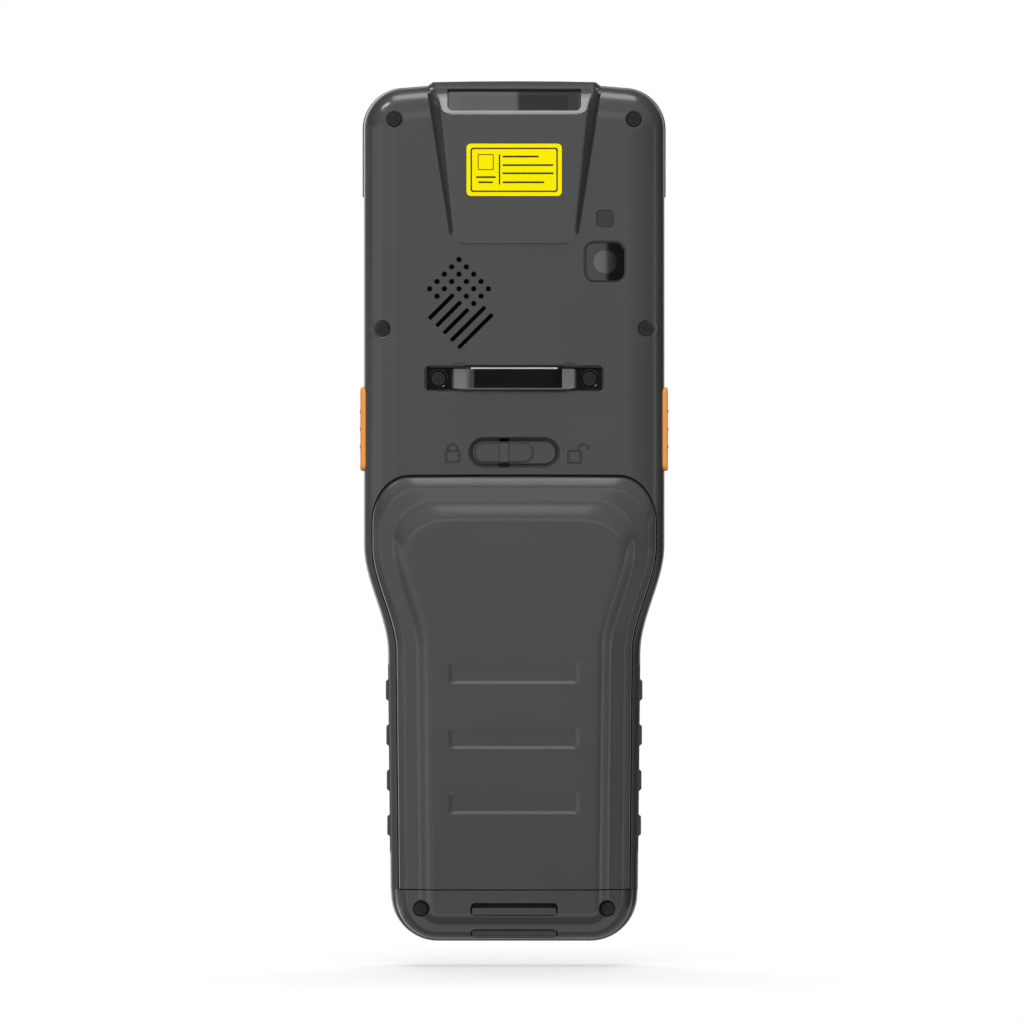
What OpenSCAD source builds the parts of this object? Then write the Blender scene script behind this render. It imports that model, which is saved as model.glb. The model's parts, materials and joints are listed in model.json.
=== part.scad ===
// Portable barcode data terminal: display and keypad on the front, scan engine at the top,
// battery in the grip. It stands on its foot, with the display facing -Y and the back facing +Y.
// Depths are measured from the front bezel plane towards the back; place() turns a depth into a Y.

/* [Body] */
// Height of the terminal, standing on its foot
body_h = 200; // [198:0.5:206]
// Width across the display end
head_w = 70; // [69:0.5:76]
// Width across the grip at the waist
grip_w = 58.8; // [58:0.2:62]
// Thickness from the front bezel to the flat of the back
body_t = 22.5; // [22.5:0.1:25]
// Depth of the front housing
front_t = 9.5; // [9.5:0.1:10.5]
// Wall of both housings
wall = 2; // [1.8:0.05:2.2]
// Thickness of the front face that carries the window and the keys
face_t = 2.4; // [2.3:0.05:2.6]
// How much narrower each side of the grip is at the foot than at the waist
grip_taper = 0.7; // [0:0.1:1.5]
// Height at which the grip starts to widen
waist_z = 67; // [64:0.5:70]
// Height at which the head has its full width
shoulder_z = 92; // [90:0.5:96]
// Radius of the two corners at the foot
foot_corner = 11; // [10:0.25:12]
// Radius of the two corners at the top
top_corner = 10.5; // [10:0.25:12.5]
// Rise of the top edge from its corners to its middle
top_crown = 1.2; // [0.6:0.1:1.6]

/* [Battery] */
// Distance from the body's edge to the battery cover's edge
cover_margin = 2.1; // [1.9:0.05:2.4]
// Gap between the battery cover and the rear housing
cover_gap = 0.25; // [0.2:0.05:0.3]
// Height of the battery cover's lower edge
cover_foot = 12.3; // [12.3:0.1:13.5]
// Height of the battery cover's upper edge
cover_head = 108.2; // [107:0.1:108.5]
// Radius of the battery cover's upper corners
cover_corner = 8.3; // [7.5:0.1:10]
// Rise of the battery cover's upper edge from its corners to its middle
cover_crown = 0.1; // [0.1:0.1:0.6]
// Width of the slope on the cover's flanks, as a share of the slope at its upper edge
flank_share = 0.75; // [0.7:0.05:1]
// Height of the battery hump above the flat of the back
hump_h = 5; // [4.5:0.1:7]
// Wall of the battery cover
cover_wall = 1.6; // [1.3:0.05:1.8]
// Depth of the battery bay's floor
bay_floor = 12.4; // [12.2:0.05:12.6]
// Thickness of the battery bay's walls and floor
bay_wall = 1.5; // [1.3:0.05:1.6]

/* [Scanner] */
// Half width of the scanner hood at its lower edge
hood_foot_half = 14.2; // [13.5:0.1:15]
// Half width of the scanner hood at its upper edge
hood_head_half = 17; // [16.5:0.1:18]
// Distance from the top of the body to the hood's lower edge
hood_length = 37; // [35:0.5:38]
// Height of the hood's upper edge above the flat of the back
hood_rise = 4.5; // [4:0.1:5.5]
// Width of the scan window
scan_window_w = 30.6; // [28:0.2:31]
// Length of the scan window down its slope
scan_window_l = 7; // [6.6:0.2:7.4]
// Thickness of the scan window
scan_window_t = 1.2; // [1:0.1:1.4]

/* [Camera] */
// Distance of the camera's axis from the side of the head
camera_inset = 13.9; // [13.5:0.1:14.4]
// Distance from the top of the body to the camera's axis
camera_drop = 42.1; // [41:0.1:44]
// Side of the square camera window
camera_window_w = 8.9; // [8.5:0.1:9.4]
// Radius of the camera lens barrel
camera_lens_r = 2.85; // [2.6:0.05:3]
// Distance from the camera's axis up to the flash
flash_rise = 10.05; // [9.5:0.05:11]
// Side of the square flash lens
flash_w = 3.8; // [3.4:0.1:4]

/* [Speaker] */
// Distance of the speaker's axis from the side of the head
speaker_inset = 22.2; // [21.4:0.1:22.6]
// Distance from the top of the body to the speaker's axis
speaker_drop = 51.8; // [51:0.1:53]
// Diagonal pitch of the speaker's sound holes, along each axis
sound_pitch = 1.703; // [1.5:0.05:1.75]
// Radius of a round sound hole
sound_hole_r = 0.57; // [0.45:0.01:0.6]
// Width of a slanted sound slot
sound_slot_w = 0.75; // [0.6:0.05:0.8]

/* [Hand strap] */
// Length of the recess that holds the strap bracket
bracket_recess_l = 41.5; // [41.2:0.1:42.5]
// Width of the recess that holds the strap bracket
bracket_recess_w = 6; // [5.6:0.1:6.4]
// Clearance around the strap bracket in its recess
bracket_gap = 0.45; // [0.3:0.05:0.5]
// Thickness of the strap bracket's strip
bracket_t = 1.2; // [1:0.05:1.3]
// Height of the bracket's bridge above the flat of the back
bridge_rise = 2.9; // [2.6:0.1:3.5]
// Distance from the top of the body to the bracket
bracket_drop = 69.2; // [68.5:0.1:70]
// Distance of each bracket screw from the middle of the body
bracket_screw_x = 17.6; // [17.4:0.1:17.8]
// Width of the strap slots at the foot
strap_slot_w = 20.2; // [18:0.2:21]

/* [Battery lock] */
// Height of the lock slider's axis above the battery cover
lock_rise = 5.4; // [5.2:0.1:6]
// Length of the slider's recess
lock_recess_l = 20.4; // [20.2:0.1:21]
// Width of the slider's recess
lock_recess_w = 6.5; // [6.3:0.05:6.6]
// Length of the slider
lock_slider_l = 13.7; // [13:0.1:14.2]
// Width of the slider
lock_slider_w = 4.6; // [4.4:0.05:5]
// Travel of the slider from locked to open
lock_travel = 4.7; // [4.6:0.05:4.8]

/* [Triggers and grips] */
// Height of the side triggers' middle
trigger_z = 119.1; // [118:0.1:121]
// Length of a side trigger
trigger_l = 19.5; // [18:0.1:20]
// Width of a side trigger, front to back
trigger_w = 7.2; // [6.6:0.1:7.4]
// How far a side trigger stands out of the body
trigger_proud = 0.8; // [0.7:0.05:1.2]
// Travel of a side trigger
trigger_travel = 0.5; // [0.4:0.02:0.55]
// Gap around the side triggers
trigger_gap = 0.15; // [0.1:0.01:0.2]
// Number of ribs on a grip pad
rib_count = 4; // [3:1:4]
// Spacing of the grip pads' ribs
rib_pitch = 10.5; // [10:0.1:11]
// Thickness of the rubber grip pads
grip_pad_t = 0.7; // [0.6:0.05:0.8]
// How far the ribs stand out of the body
rib_proud = 0.55; // [0.4:0.05:0.7]

/* [Display] */
// Width of the display window
window_w = 61; // [58:0.5:61.5]
// Distance from the top of the body to the display window
window_drop = 9.6; // [9:0.1:11]
// Distance from the keypad's board up to the display window
window_above_keys = 4.2; // [4:0.1:6]
// Thickness of the display window
window_t = 1.1; // [1:0.05:1.1]
// Border of the window beside the display module
module_side = 3; // [3:0.1:4.5]
// Border of the window above and below the display module
module_end = 3.8; // [3.5:0.1:6]
// Thickness of the display module
module_t = 2.4; // [2.2:0.05:2.4]

/* [Keypad] */
// Distance from the outer keys to the side of the grip
key_margin = 7.3; // [7.1:0.1:7.8]
// Gap between two keys side by side
key_space = 2.6; // [2.5:0.1:3.2]
// Height of a key
key_h = 6.8; // [6.2:0.1:7]
// Spacing of the rows of keys
key_pitch_z = 9; // [8.8:0.05:9.1]
// Height of the lowest row of keys
key_first_z = 16.6; // [16.6:0.1:17]
// How far the keys stand out of the front face
key_proud = 0.4; // [0.3:0.05:0.6]
// Travel of a key
key_travel = 0.4; // [0.3:0.02:0.42]
// Gap around a key
key_gap = 0.2; // [0.15:0.01:0.25]

/* [Port] */
// Length of the port cover at the foot
port_cover_l = 26.8; // [24:0.2:28]
// Width of the port cover, front to back
port_cover_w = 5.4; // [5:0.1:5.6]
// Thickness of the port cover
port_cover_t = 1.3; // [1:0.05:1.4]

/* [Hidden] */
$fn = 48;

PAD_NODES = ["key_soft_left", "key_scan", "key_soft_right",
             "key_back", "key_up", "key_power",
             "key_left", "key_ok", "key_right",
             "key_fn", "key_down", "key_delete",
             "key_1", "key_2", "key_3",
             "key_4", "key_5", "key_6",
             "key_7", "key_8", "key_9",
             "key_star", "key_0", "key_hash"];

// Colours
dark_plastic = "#3f4042";
black_plastic = "#1c1d1f";
rubber = "#4a4b4d";
orange = "#f0962e";
steel = "#8d9094";
brass = "#b8964a";
glass = "#15181c";
board_green = "#1f5a3a";
yellow = "#fff000";

// Depth frame: the middle of the whole thickness is at Y = 0
hump_depth = body_t + hump_h;
mid_depth = (hump_depth - key_proud) / 2;
function place(depth) = depth - mid_depth;

// Fit and clearance
slip = 0.1;             // between parts that are dropped into one another
skin = 0.05;            // between parts that are laid on one another
through = 3;            // how far a cutter runs past the face that it opens
fine = 0.01;            // overlap of pieces that are one solid

// Outline
bumper_proud = 0.4;
housing_top = body_h - bumper_proud;
foot_half_w = grip_w / 2 - grip_taper;
sway_steps = 8;         // straight pieces in the curve from grip to head
corner_step = 15;       // degrees between the points on a corner

function ease(t) = t * t * (3 - 2 * t);
function side_x(z) =
    z <= waist_z ? grip_w / 2 - grip_taper * (1 - z / waist_z)
    : z >= shoulder_z ? head_w / 2
    : grip_w / 2 + (head_w - grip_w) / 2 * ease((z - waist_z) / (shoulder_z - waist_z));
side_heights = concat([waist_z * 0.45, waist_z * 0.72],
                      [for (i = [0:sway_steps]) waist_z + (shoulder_z - waist_z) * i / sway_steps]);

// The right half of an outline from foot to top, taken in by e. rise lifts the foot's edge.
function right_side(e, top_z, corner, crown, rise) =
    let (foot_r = max(foot_corner - e, 1),
         top_r = max(corner - e, 1),
         foot_x = foot_half_w - e - foot_r,
         top_x = head_w / 2 - e - top_r,
         corner_z = top_z - e - crown)
    concat([for (a = [-90:corner_step:0]) [foot_x + foot_r * cos(a), rise + foot_r * (1 + sin(a))]],
           [for (z = side_heights) [side_x(z) - e, z]],
           [for (a = [0:corner_step:90]) [top_x + top_r * cos(a), corner_z - top_r * (1 - sin(a))]],
           [for (share = [0.66, 0.33, 0.06]) [top_x * share, corner_z + crown * (1 - share * share)]]);
function mirrored(right) =
    concat(right, [for (i = [len(right) - 1:-1:0]) [-right[i].x, right[i].y]]);
function body_outline(e) = mirrored(right_side(e, housing_top, top_corner, top_crown, e));
// The flanks are steeper than the slope at the upper edge
function grip_outline(e, rise) =
    let (side = e > 0 ? flank_share * e : e)
    mirrored(right_side(cover_margin + side, cover_head + cover_margin + side - e,
                        cover_corner + cover_margin, cover_crown, rise));

// Joins rings of points, each at its own depth, into one closed solid
module loft(rings, depths) {
    n = len(rings[0]);
    m = len(rings);
    polyhedron(
        points = [for (k = [0:m - 1]) for (p = rings[k]) [p.x, place(depths[k]), p.y]],
        faces = concat(
            [for (i = [0:n / 2 - 2]) [n - 1 - i, n - 2 - i, i + 1, i]],
            [for (i = [0:n / 2 - 2]) [for (j = [i, i + 1, n - 2 - i, n - 1 - i]) (m - 1) * n + j]],
            [for (k = [0:m - 2]) for (i = [0:n - 1])
                [k * n + i, k * n + (i + 1) % n, (k + 1) * n + (i + 1) % n]],
            [for (k = [0:m - 2]) for (i = [0:n - 1])
                [k * n + i, (k + 1) * n + (i + 1) % n, (k + 1) * n + i]]));
}

// A flat outline in X and Z, as a slab from one depth to another
module slab(from, to) {
    translate([0, place(to), 0]) rotate([90, 0, 0]) linear_extrude(to - from) children();
}

// A round bar along the depth
module post(x, z, r, from, to) {
    translate([x, place(from), z]) rotate([-90, 0, 0]) cylinder(r = r, h = to - from);
}

// A block between two corners given as x, depth and z
module block(a, b) {
    translate([a.x, place(a.y), a.z]) cube([b.x - a.x, b.y - a.y, b.z - a.z]);
}

module rounded(w, h, r) {
    polygon([for (corner = [[1, -1, -90], [1, 1, 0], [-1, 1, 90], [-1, -1, 180]])
             for (a = [0:22.5:90])
             [corner.x * (w / 2 - r) + r * cos(corner.z + a),
              corner.y * (h / 2 - r) + r * sin(corner.z + a)]]);
}

module rounded_slab(x, z, w, h, r, from, to) {
    slab(from, to) translate([x, z]) rounded(w, h, r);
}

// A slot with round ends, along X
module stadium_slab(x, z, l, w, from, to) {
    slab(from, to) translate([x, z]) {
        square([l - w, w], center = true);
        for (side = [-1, 1]) translate([side * (l - w) / 2, 0]) circle(d = w);
    }
}

// ---- Housings ----

// Inset and depth of the rings that shape the back, as the body's edge rounds over
back_turn = [[0, -6.5], [0.35, -4.5], [1, -3.1], [2.1, -1.8], [3.6, -1], [5.5, -0.4], [8.5, 0]];
// Inset and depth of the rings that shape the grip, from its edge up to the hump
grip_turn = [[0, -1.5], [1.2, -0.5], [3.4, 0.7], [5.2, 1.6], [7.2, 3.1], [9.2, 4.4], [11.2, 5]];
// Inset and depth of the rings that shape the front edge
front_turn = [[2.2, 0], [1, 0.35], [0.35, 1], [0, 2.2]];
foot_squeeze = 0.5;     // the hump rounds over in half the distance at the foot's edge
grip_root = 8;          // how far the grip's solid form runs into the body

module back_form(e) {
    insets = concat([e], [for (t = back_turn) t[0] + e]);
    depths = concat([front_t - (e > 0 ? 1 : 0)], [for (t = back_turn) body_t + t[1] - e]);
    loft([for (i = insets) body_outline(i)], depths);
}

module grip_form(e, root) {
    insets = concat([e], [for (t = grip_turn) t[0] + e]);
    depths = concat([body_t - root], [for (t = grip_turn) body_t + t[1] * (t[1] > 0 ? hump_h / 5 : 1) - e]);
    loft([for (i = insets) grip_outline(i, (cover_margin + i) * foot_squeeze)], depths);
}

module above(z) { block([-head_w, -head_w, z], [head_w, head_w, 2 * body_h]); }
module below(z) { block([-head_w, -head_w, -body_h], [head_w, head_w, z]); }

// Scanner hood: a wedge that rises towards the window, with a sloping frame around the window
hood_edge_z = body_h - hood_length + 0.2;
hood_foot_z = hood_edge_z - 1.2;
hood_brow_z = body_h - 7.9;
hood_top_z = body_h - 0.3;
hood_step = 0.6;        // height of the hood's lower edge above the back
hood_flare = 0.7;       // how far the hood's sides spread at its foot
hood_spread = 3.2;      // how far they spread at its top
hood_corner = 1.5;      // how far its lower corners are cut off
nose_depth = body_t - 8;
band_depth = body_t - 2.7; // depth of the hood's upper edge, above the window
frame_angle = atan2(hood_top_z - hood_brow_z, body_t + hood_rise - band_depth);
hood_slope = atan2(hood_rise - hood_step, hood_brow_z - hood_edge_z);
window_rise = 3.3;      // from the hood's brow up to the window's middle
window_mid = [0, body_t + hood_rise - window_rise / tan(frame_angle), hood_brow_z + window_rise];

module hood_form(e) {
    root_half = hood_foot_half + hood_flare - e;
    head_half = hood_head_half + hood_spread - e;
    foot = hood_foot_z + e;
    edge = hood_edge_z + e;
    edge_depth = body_t + hood_step - e;
    spots = [[root_half, body_t - 1.5, foot + hood_corner],
             [root_half - hood_corner, body_t - 1.5, foot],
             [root_half, nose_depth, foot + hood_corner],
             [root_half - hood_corner, nose_depth, foot],
             [hood_foot_half - e, edge_depth + hood_corner * tan(hood_slope), edge + hood_corner],
             [hood_foot_half - hood_corner - e, edge_depth, edge],
             [hood_head_half - e, body_t + hood_rise - e, hood_brow_z - e],
             [head_half, body_t - 1, hood_top_z - 4 - e],
             [head_half, band_depth - 0.9 - e, hood_top_z - 0.9 - e],
             [head_half, nose_depth, hood_top_z - 0.9 - e],
             [head_half - 1.4, band_depth - e, hood_top_z - e],
             [head_half - 1.4, nose_depth, hood_top_z - e]];
    hull() for (side = [-1, 1]) for (s = spots)
        translate([side * s.x, place(s.y), s.z]) cube(fine, center = true);
}

module at_window() {
    translate([window_mid.x, place(window_mid.y), window_mid.z]) rotate([-frame_angle, 0, 0]) children();
}

// Screws that hold the housings together: x, z and the depth of the head's seat
screw_head_r = 1.75;
screw_head_t = 1.1;
screw_r = 0.95;
recess_r = 1.92;
boss_r = 2.8;
seat_back = body_t - 1.8;
seat_foot = body_t + 0.2;
top_screw = [head_w / 2 - 7.15, body_h - 9, seat_back];
side_screw = [head_w / 2 - 4.4, body_h - 57.6, seat_back];
foot_screw = [grip_w / 2 - 7.8, 7.75, seat_foot];
screw_spots = [for (side = [-1, 1]) for (s = [top_screw, side_screw, foot_screw]) [side * s.x, s.y, s.z]];

// Camera and speaker
camera_x = head_w / 2 - camera_inset;
camera_z = body_h - camera_drop;
speaker_x = head_w / 2 - speaker_inset;
speaker_z = body_h - speaker_drop;
camera_pad = 5.4;       // half the side of the thick wall around the camera window

// Strap bracket
bracket_z = body_h - bracket_drop;
bracket_floor = body_t - 2.5;
pocket_floor_t = 1.3;   // floor under the bracket's and the slider's recess
bracket_screw_end = body_t - 7;

// Battery lock
lock_z = cover_head + lock_rise;
lock_floor = body_t - 1.7;
lock_rest_x = lock_travel / 2;
stem_w = 3;
stem_h = 2;
tongue_w = 4.5;
tongue_depth = bay_floor + 2.4;
tongue_t = 1.2;
tongue_reach = 2;       // below the cover's upper edge

// Triggers
trigger_depth = front_t + 0.9;
trigger_mid = trigger_depth + trigger_w / 2;
trigger_lip = 0.7;      // thickness of the lip that keeps a trigger in its hole
lip_long = 1.6;         // how much longer and wider than the trigger that lip is
lip_wide = 1.2;

// Grip pads
pad_foot_z = 20;
pad_head_z = 65;
pad_front = front_t + 1.5;
pad_back = front_t + 7.5;

// Strap slots at the foot: heights and depths
slot_upper = [6.2, 9.1];
slot_lower = [0.9, 2.9];
channel_depth = body_t - 5.3;
bar_depth = body_t - 2.8;
channel_wall = 1.5;

module trigger_cut(side) {
    pocket = trigger_lip + trigger_travel + slip;
    translate([side * (head_w / 2 - wall), place(trigger_mid), trigger_z]) {
        cube([2 * (wall + through), trigger_w + 2 * trigger_gap, trigger_l + 2 * trigger_gap], center = true);
        translate([-side * pocket, 0, 0])
            cube([2 * pocket, trigger_w + lip_wide + 2 * trigger_gap, trigger_l + lip_long + 2 * trigger_gap],
                 center = true);
    }
}

module grip_band(inner, outer, from, to, low, high) {
    intersection() {
        slab(from, to) difference() {
            polygon(body_outline(-outer));
            polygon(body_outline(inner));
        }
        block([0, from - 1, low], [head_w, to + 1, high]);
    }
}

module sound_holes() {
    z0 = speaker_z + 6 * sound_pitch;
    for (i = [0:4]) for (j = [0:4])
        if (i < 2 || j < 3 && !(i >= 2 && j >= 3))
            post(speaker_x - (i - j) * sound_pitch, z0 - (i + j) * sound_pitch, sound_hole_r,
                 body_t - wall - 1, body_t + 1);
    for (i = [2:6]) {
        j0 = i < 5 ? 2.95 : 1.65;
        j1 = 5.9;
        mid = (j0 + j1) / 2;
        length = (j1 - j0) * sound_pitch * sqrt(2);
        slab(body_t - wall - 1, body_t + 1)
            translate([speaker_x - (i - mid) * sound_pitch, z0 - (i + mid) * sound_pitch])
            rotate(-45) {
                square([length, sound_slot_w], center = true);
                for (end = [-1, 1]) translate([end * length / 2, 0]) circle(d = sound_slot_w, $fn = 24);
            }
    }
}

module bay_tray() {
    gap = cover_gap;
    intersection() {
        slab(bay_floor - bay_wall, body_t - wall + fine) intersection() {
            polygon(grip_outline(-gap - bay_wall, cover_margin));
            translate([-head_w, cover_foot - gap - bay_wall]) square([2 * head_w, body_h]);
        }
        back_form(0);
    }
}

module bay_void() {
    gap = cover_gap;
    slab(bay_floor, hump_depth + through) intersection() {
        polygon(grip_outline(-gap, 0));
        translate([-head_w, cover_foot - gap]) square([2 * head_w, body_h]);
    }
}

module strap_channel_block() {
    w = strap_slot_w / 2 + channel_wall;
    intersection() {
        union() {
            back_form(0);
            grip_form(0, grip_root);
        }
        block([-w, channel_depth - channel_wall, 0], [w, hump_depth, slot_upper[1] + channel_wall]);
    }
}

module strap_channel() {
    w = strap_slot_w / 2;
    block([-w, channel_depth, slot_lower[0]], [w, bar_depth, slot_upper[1]]);
    for (s = [slot_upper, slot_lower]) block([-w, channel_depth, s[0]], [w, hump_depth + 1, s[1]]);
}

module rear_housing() {
    color(dark_plastic) difference() {
        union() {
            difference() {
                union() {
                    back_form(0);
                    intersection() {
                        grip_form(0, grip_root);
                        below(cover_foot - cover_gap);
                    }
                    hood_form(0);
                }
                back_form(wall);
                hood_form(wall);
                intersection() {
                    grip_form(wall, grip_root + 1);
                    below(cover_foot - cover_gap - bay_wall);
                }
            }
            bay_tray();
            strap_channel_block();
            for (s = screw_spots) post(s.x, s.y, boss_r, front_t, s.z);
            translate([0, 0, bracket_z])
                block([-bracket_recess_l / 2 - 1, bracket_floor - pocket_floor_t, -bracket_recess_w / 2 - 1],
                      [bracket_recess_l / 2 + 1, body_t - wall + fine, bracket_recess_w / 2 + 1]);
            for (x = [-bracket_screw_x, bracket_screw_x])
                post(x, bracket_z, boss_r - 0.2, bracket_screw_end - 0.5, bracket_floor - 1);
            block([-lock_recess_l / 2 - 1, lock_floor - pocket_floor_t, cover_head + cover_gap],
                  [lock_recess_l / 2 + 1, body_t - wall + fine, lock_z + lock_recess_w / 2 + 1]);
            translate([-camera_x, 0, camera_z])
                block([-camera_pad, body_t - 3, -camera_pad], [camera_pad, body_t - wall + fine, camera_pad]);
        }
        bay_void();
        strap_channel();
        for (s = screw_spots) {
            post(s.x, s.y, recess_r, s.z, hump_depth + 1);
            post(s.x, s.y, screw_r + 0.15, front_t - 1, s.z + fine);
        }
        rounded_slab(0, bracket_z, bracket_recess_l, bracket_recess_w, 1.3, bracket_floor, body_t + 1);
        for (x = [-bracket_screw_x, bracket_screw_x])
            post(x, bracket_z, screw_r + 0.05, bracket_screw_end, body_t);
        stadium_slab(0, lock_z, lock_recess_l, lock_recess_w, lock_floor, body_t + 1);
        block([lock_rest_x - lock_travel - stem_w / 2 - 0.2, front_t, lock_z - stem_h / 2 - 0.15],
              [lock_rest_x + stem_w / 2 + 0.2, lock_floor + 1, lock_z + stem_h / 2 + 0.15]);
        block([lock_rest_x - lock_travel - tongue_w / 2 - 0.3, tongue_depth - 0.2, cover_head - 1],
              [lock_rest_x + tongue_w / 2 + 0.3, tongue_depth + tongue_t + 0.2, lock_z + 4]);
        block([-15.2, bay_floor - bay_wall - 1, connector_z - 2.2], [-4.8, bay_floor + 1, connector_z + 2.2]);
        for (side = [-1, 1])
            block([side * lug_x - lug_w / 2 - 0.3, lug_depth - 0.3, cover_foot - bay_wall - 1],
                  [side * lug_x + lug_w / 2 + 0.3, lug_depth + lug_t + 0.3, cover_foot]);
        translate([-camera_x, 0, camera_z]) {
            rounded_slab(0, 0, camera_window_w + 0.8, camera_window_w + 0.8, 2.45, body_t - 1.3, body_t + 1);
            post(0, 0, camera_lens_r + 0.3, body_t - 4, body_t);
            rounded_slab(0, flash_rise, flash_w + slip, flash_w + slip, 0.9, body_t - 4, body_t + 1);
        }
        at_window() cube([scan_window_w + 0.4, scan_window_l + 0.4, 12], center = true);
        sound_holes();
        for (side = [-1, 1]) trigger_cut(side);
        for (side = [0, 1]) mirror([side, 0, 0])
            grip_band(grip_pad_t, 1, pad_front, pad_back, pad_foot_z, pad_head_z);
    }
}

// ---- Front ----

// Board that the keys lie on
key_w = (grip_w - 2 * key_margin - 2 * key_space) / 3;
key_pitch_x = key_w + key_space;
pad_end = 5;            // from the middle of the first and last row to the board's edge
pad_low_z = key_first_z - pad_end;
pad_high_z = key_first_z + 7 * key_pitch_z + pad_end;
pad_half = key_pitch_x + key_w / 2 + 2.2;

// Display window and module
window_foot_z = pad_high_z + window_above_keys;
window_l = body_h - window_drop - window_foot_z;
window_mid_z = window_foot_z + window_l / 2;
window_set = 0.2;       // the window lies this far below the bezel
window_recess = window_set + window_t + slip;
window_fit = 0.15;      // gap around the window
module_w = window_w - 2 * module_side;
module_l = window_l - 2 * module_end;
module_fit = 0.3;

// Earpiece slot and status lens
earpiece_z = body_h - window_drop / 2 - 0.1;
earpiece_l = 10;
earpiece_w = 1.2;
status_x = head_w / 2 - 13;
status_r = 1;

// Bumper round the top, and the seal behind it
bumper_foot_z = body_h - 26.7;
bumper_t = 0.9;
bumper_w = 6.7;
bumper_back = front_t - 0.2;
seal_t = 0.6;
seal_h = 0.6;

// Charging port
port_mid = front_t - 4.1;
port_block_h = 3.5;
port_block_wall = 1.2;
socket_half = 4.45;
socket_t = 3.2;
socket_fit = 0.15;
socket_foot_z = 2;

module key_spots() {
    for (i = [0:len(PAD_NODES) - 1])
        translate([key_x(i), 0, key_z(i)]) children();
}
function key_x(i) = (i % 3 - 1) * key_pitch_x;
function key_z(i) = key_first_z + (7 - floor(i / 3)) * key_pitch_z;

module front_form(e) {
    insets = concat([for (t = front_turn) t[0] + e], [e]);
    depths = concat([for (t = front_turn) t[1] + (e > 0 ? face_t : 0)], [front_t + (e > 0 ? 1 : 0)]);
    loft([for (i = insets) body_outline(i)], depths);
}

module front_housing() {
    color(dark_plastic) difference() {
        union() {
            difference() {
                front_form(0);
                front_form(wall);
            }
            for (s = screw_spots) post(s.x, s.y, boss_r, face_t - fine, front_t);
            block([-port_cover_l / 2 - port_block_wall, face_t - fine, 0.5],
                  [port_cover_l / 2 + port_block_wall, front_t, port_block_h]);
            for (side = [-1, 1])
                translate([side * (window_w / 2 + 0.7), 0, window_mid_z])
                    block([-0.5, face_t - fine, -0.4 * window_l], [0.5, frame_depth, 0.4 * window_l]);
        }
        rounded_slab(0, window_mid_z, window_w + 2 * window_fit, window_l + 2 * window_fit, 4,
                     -1, window_recess);
        rounded_slab(0, window_mid_z, module_w + 2 * module_fit, module_l + 2 * module_fit, 1,
                     0, face_t + 1);
        key_spots() rounded_slab(0, 0, key_w + 2 * key_gap, key_h + 2 * key_gap, 1.8, -1, face_t + 1);
        stadium_slab(0, earpiece_z, earpiece_l, earpiece_w, -1, face_t + 1);
        post(status_x, earpiece_z, status_r + skin, -1, face_t + 1);
        for (s = screw_spots) post(s.x, s.y, insert_r, insert_foot - 0.3, front_t + 1);
        slab(front_t - seal_h, front_t + 1) difference() {
            polygon(body_outline(bumper_t));
            polygon(body_outline(bumper_t + seal_t + 2 * slip));
        }
        intersection() {
            slab(bumper_back - bumper_w, bumper_back + fine) difference() {
                polygon(body_outline(-through));
                polygon(body_outline(bumper_t));
            }
            above(bumper_foot_z);
        }
        block([-port_cover_l / 2 - slip, port_mid - port_cover_w / 2 - slip, -1],
              [port_cover_l / 2 + slip, port_mid + port_cover_w / 2 + slip, port_cover_t + skin]);
        block([-socket_half - socket_fit, port_mid - socket_t / 2 - socket_fit, 0],
              [socket_half + socket_fit, port_mid + socket_t / 2 + socket_fit, port_block_h + 1]);
    }
}

module top_bumper() {
    color(rubber) intersection() {
        slab(bumper_back - bumper_w, bumper_back) difference() {
            polygon(body_outline(-bumper_proud));
            polygon(body_outline(bumper_t));
        }
        above(bumper_foot_z);
    }
}

module housing_seal() {
    color(black_plastic) slab(front_t - seal_h, front_t) difference() {
        polygon(body_outline(bumper_t + slip));
        polygon(body_outline(bumper_t + slip + seal_t));
    }
}

module display_window() {
    color(glass) rounded_slab(0, window_mid_z, window_w, window_l, 3.8, window_set, window_set + window_t);
}

module_depth = window_set + window_t + slip;
module display_module() {
    color(steel)
        rounded_slab(0, window_mid_z, module_w, module_l, 0.8, module_depth, module_depth + module_t);
}

// ---- Inside ----

frame_depth = module_depth + module_t + slip;
frame_t = 1;
board_gap = 1.5;        // between the frame and the main board
board_depth = frame_depth + frame_t + board_gap;
board_t = 1.2;
step_z = window_foot_z - 0.8; // where the frame steps from the display down to the keypad
board_foot_z = step_z + 4;
board_head_z = body_h - 26;
pad_board_depth = face_t + 2.5;
pad_board_t = 1;
engine_depth = front_t + 1;
engine_half = 10.8;
engine_foot_z = body_h - 25.5;
engine_head_z = body_h - 12;
engine_back = body_t - 1;
ear_x = head_w / 2 - 7.4;
ear_t = 0.9;
ear_half = 8;
ear_gap = 0.3;
switch_half = 3;
switch_back = head_w / 2 - 3.7;
board_half = head_w / 2 - 5;

module frame_relief(from, to) {
    for (s = screw_spots) post(s.x, s.y, boss_r + 0.3, from, to);
}

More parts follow.
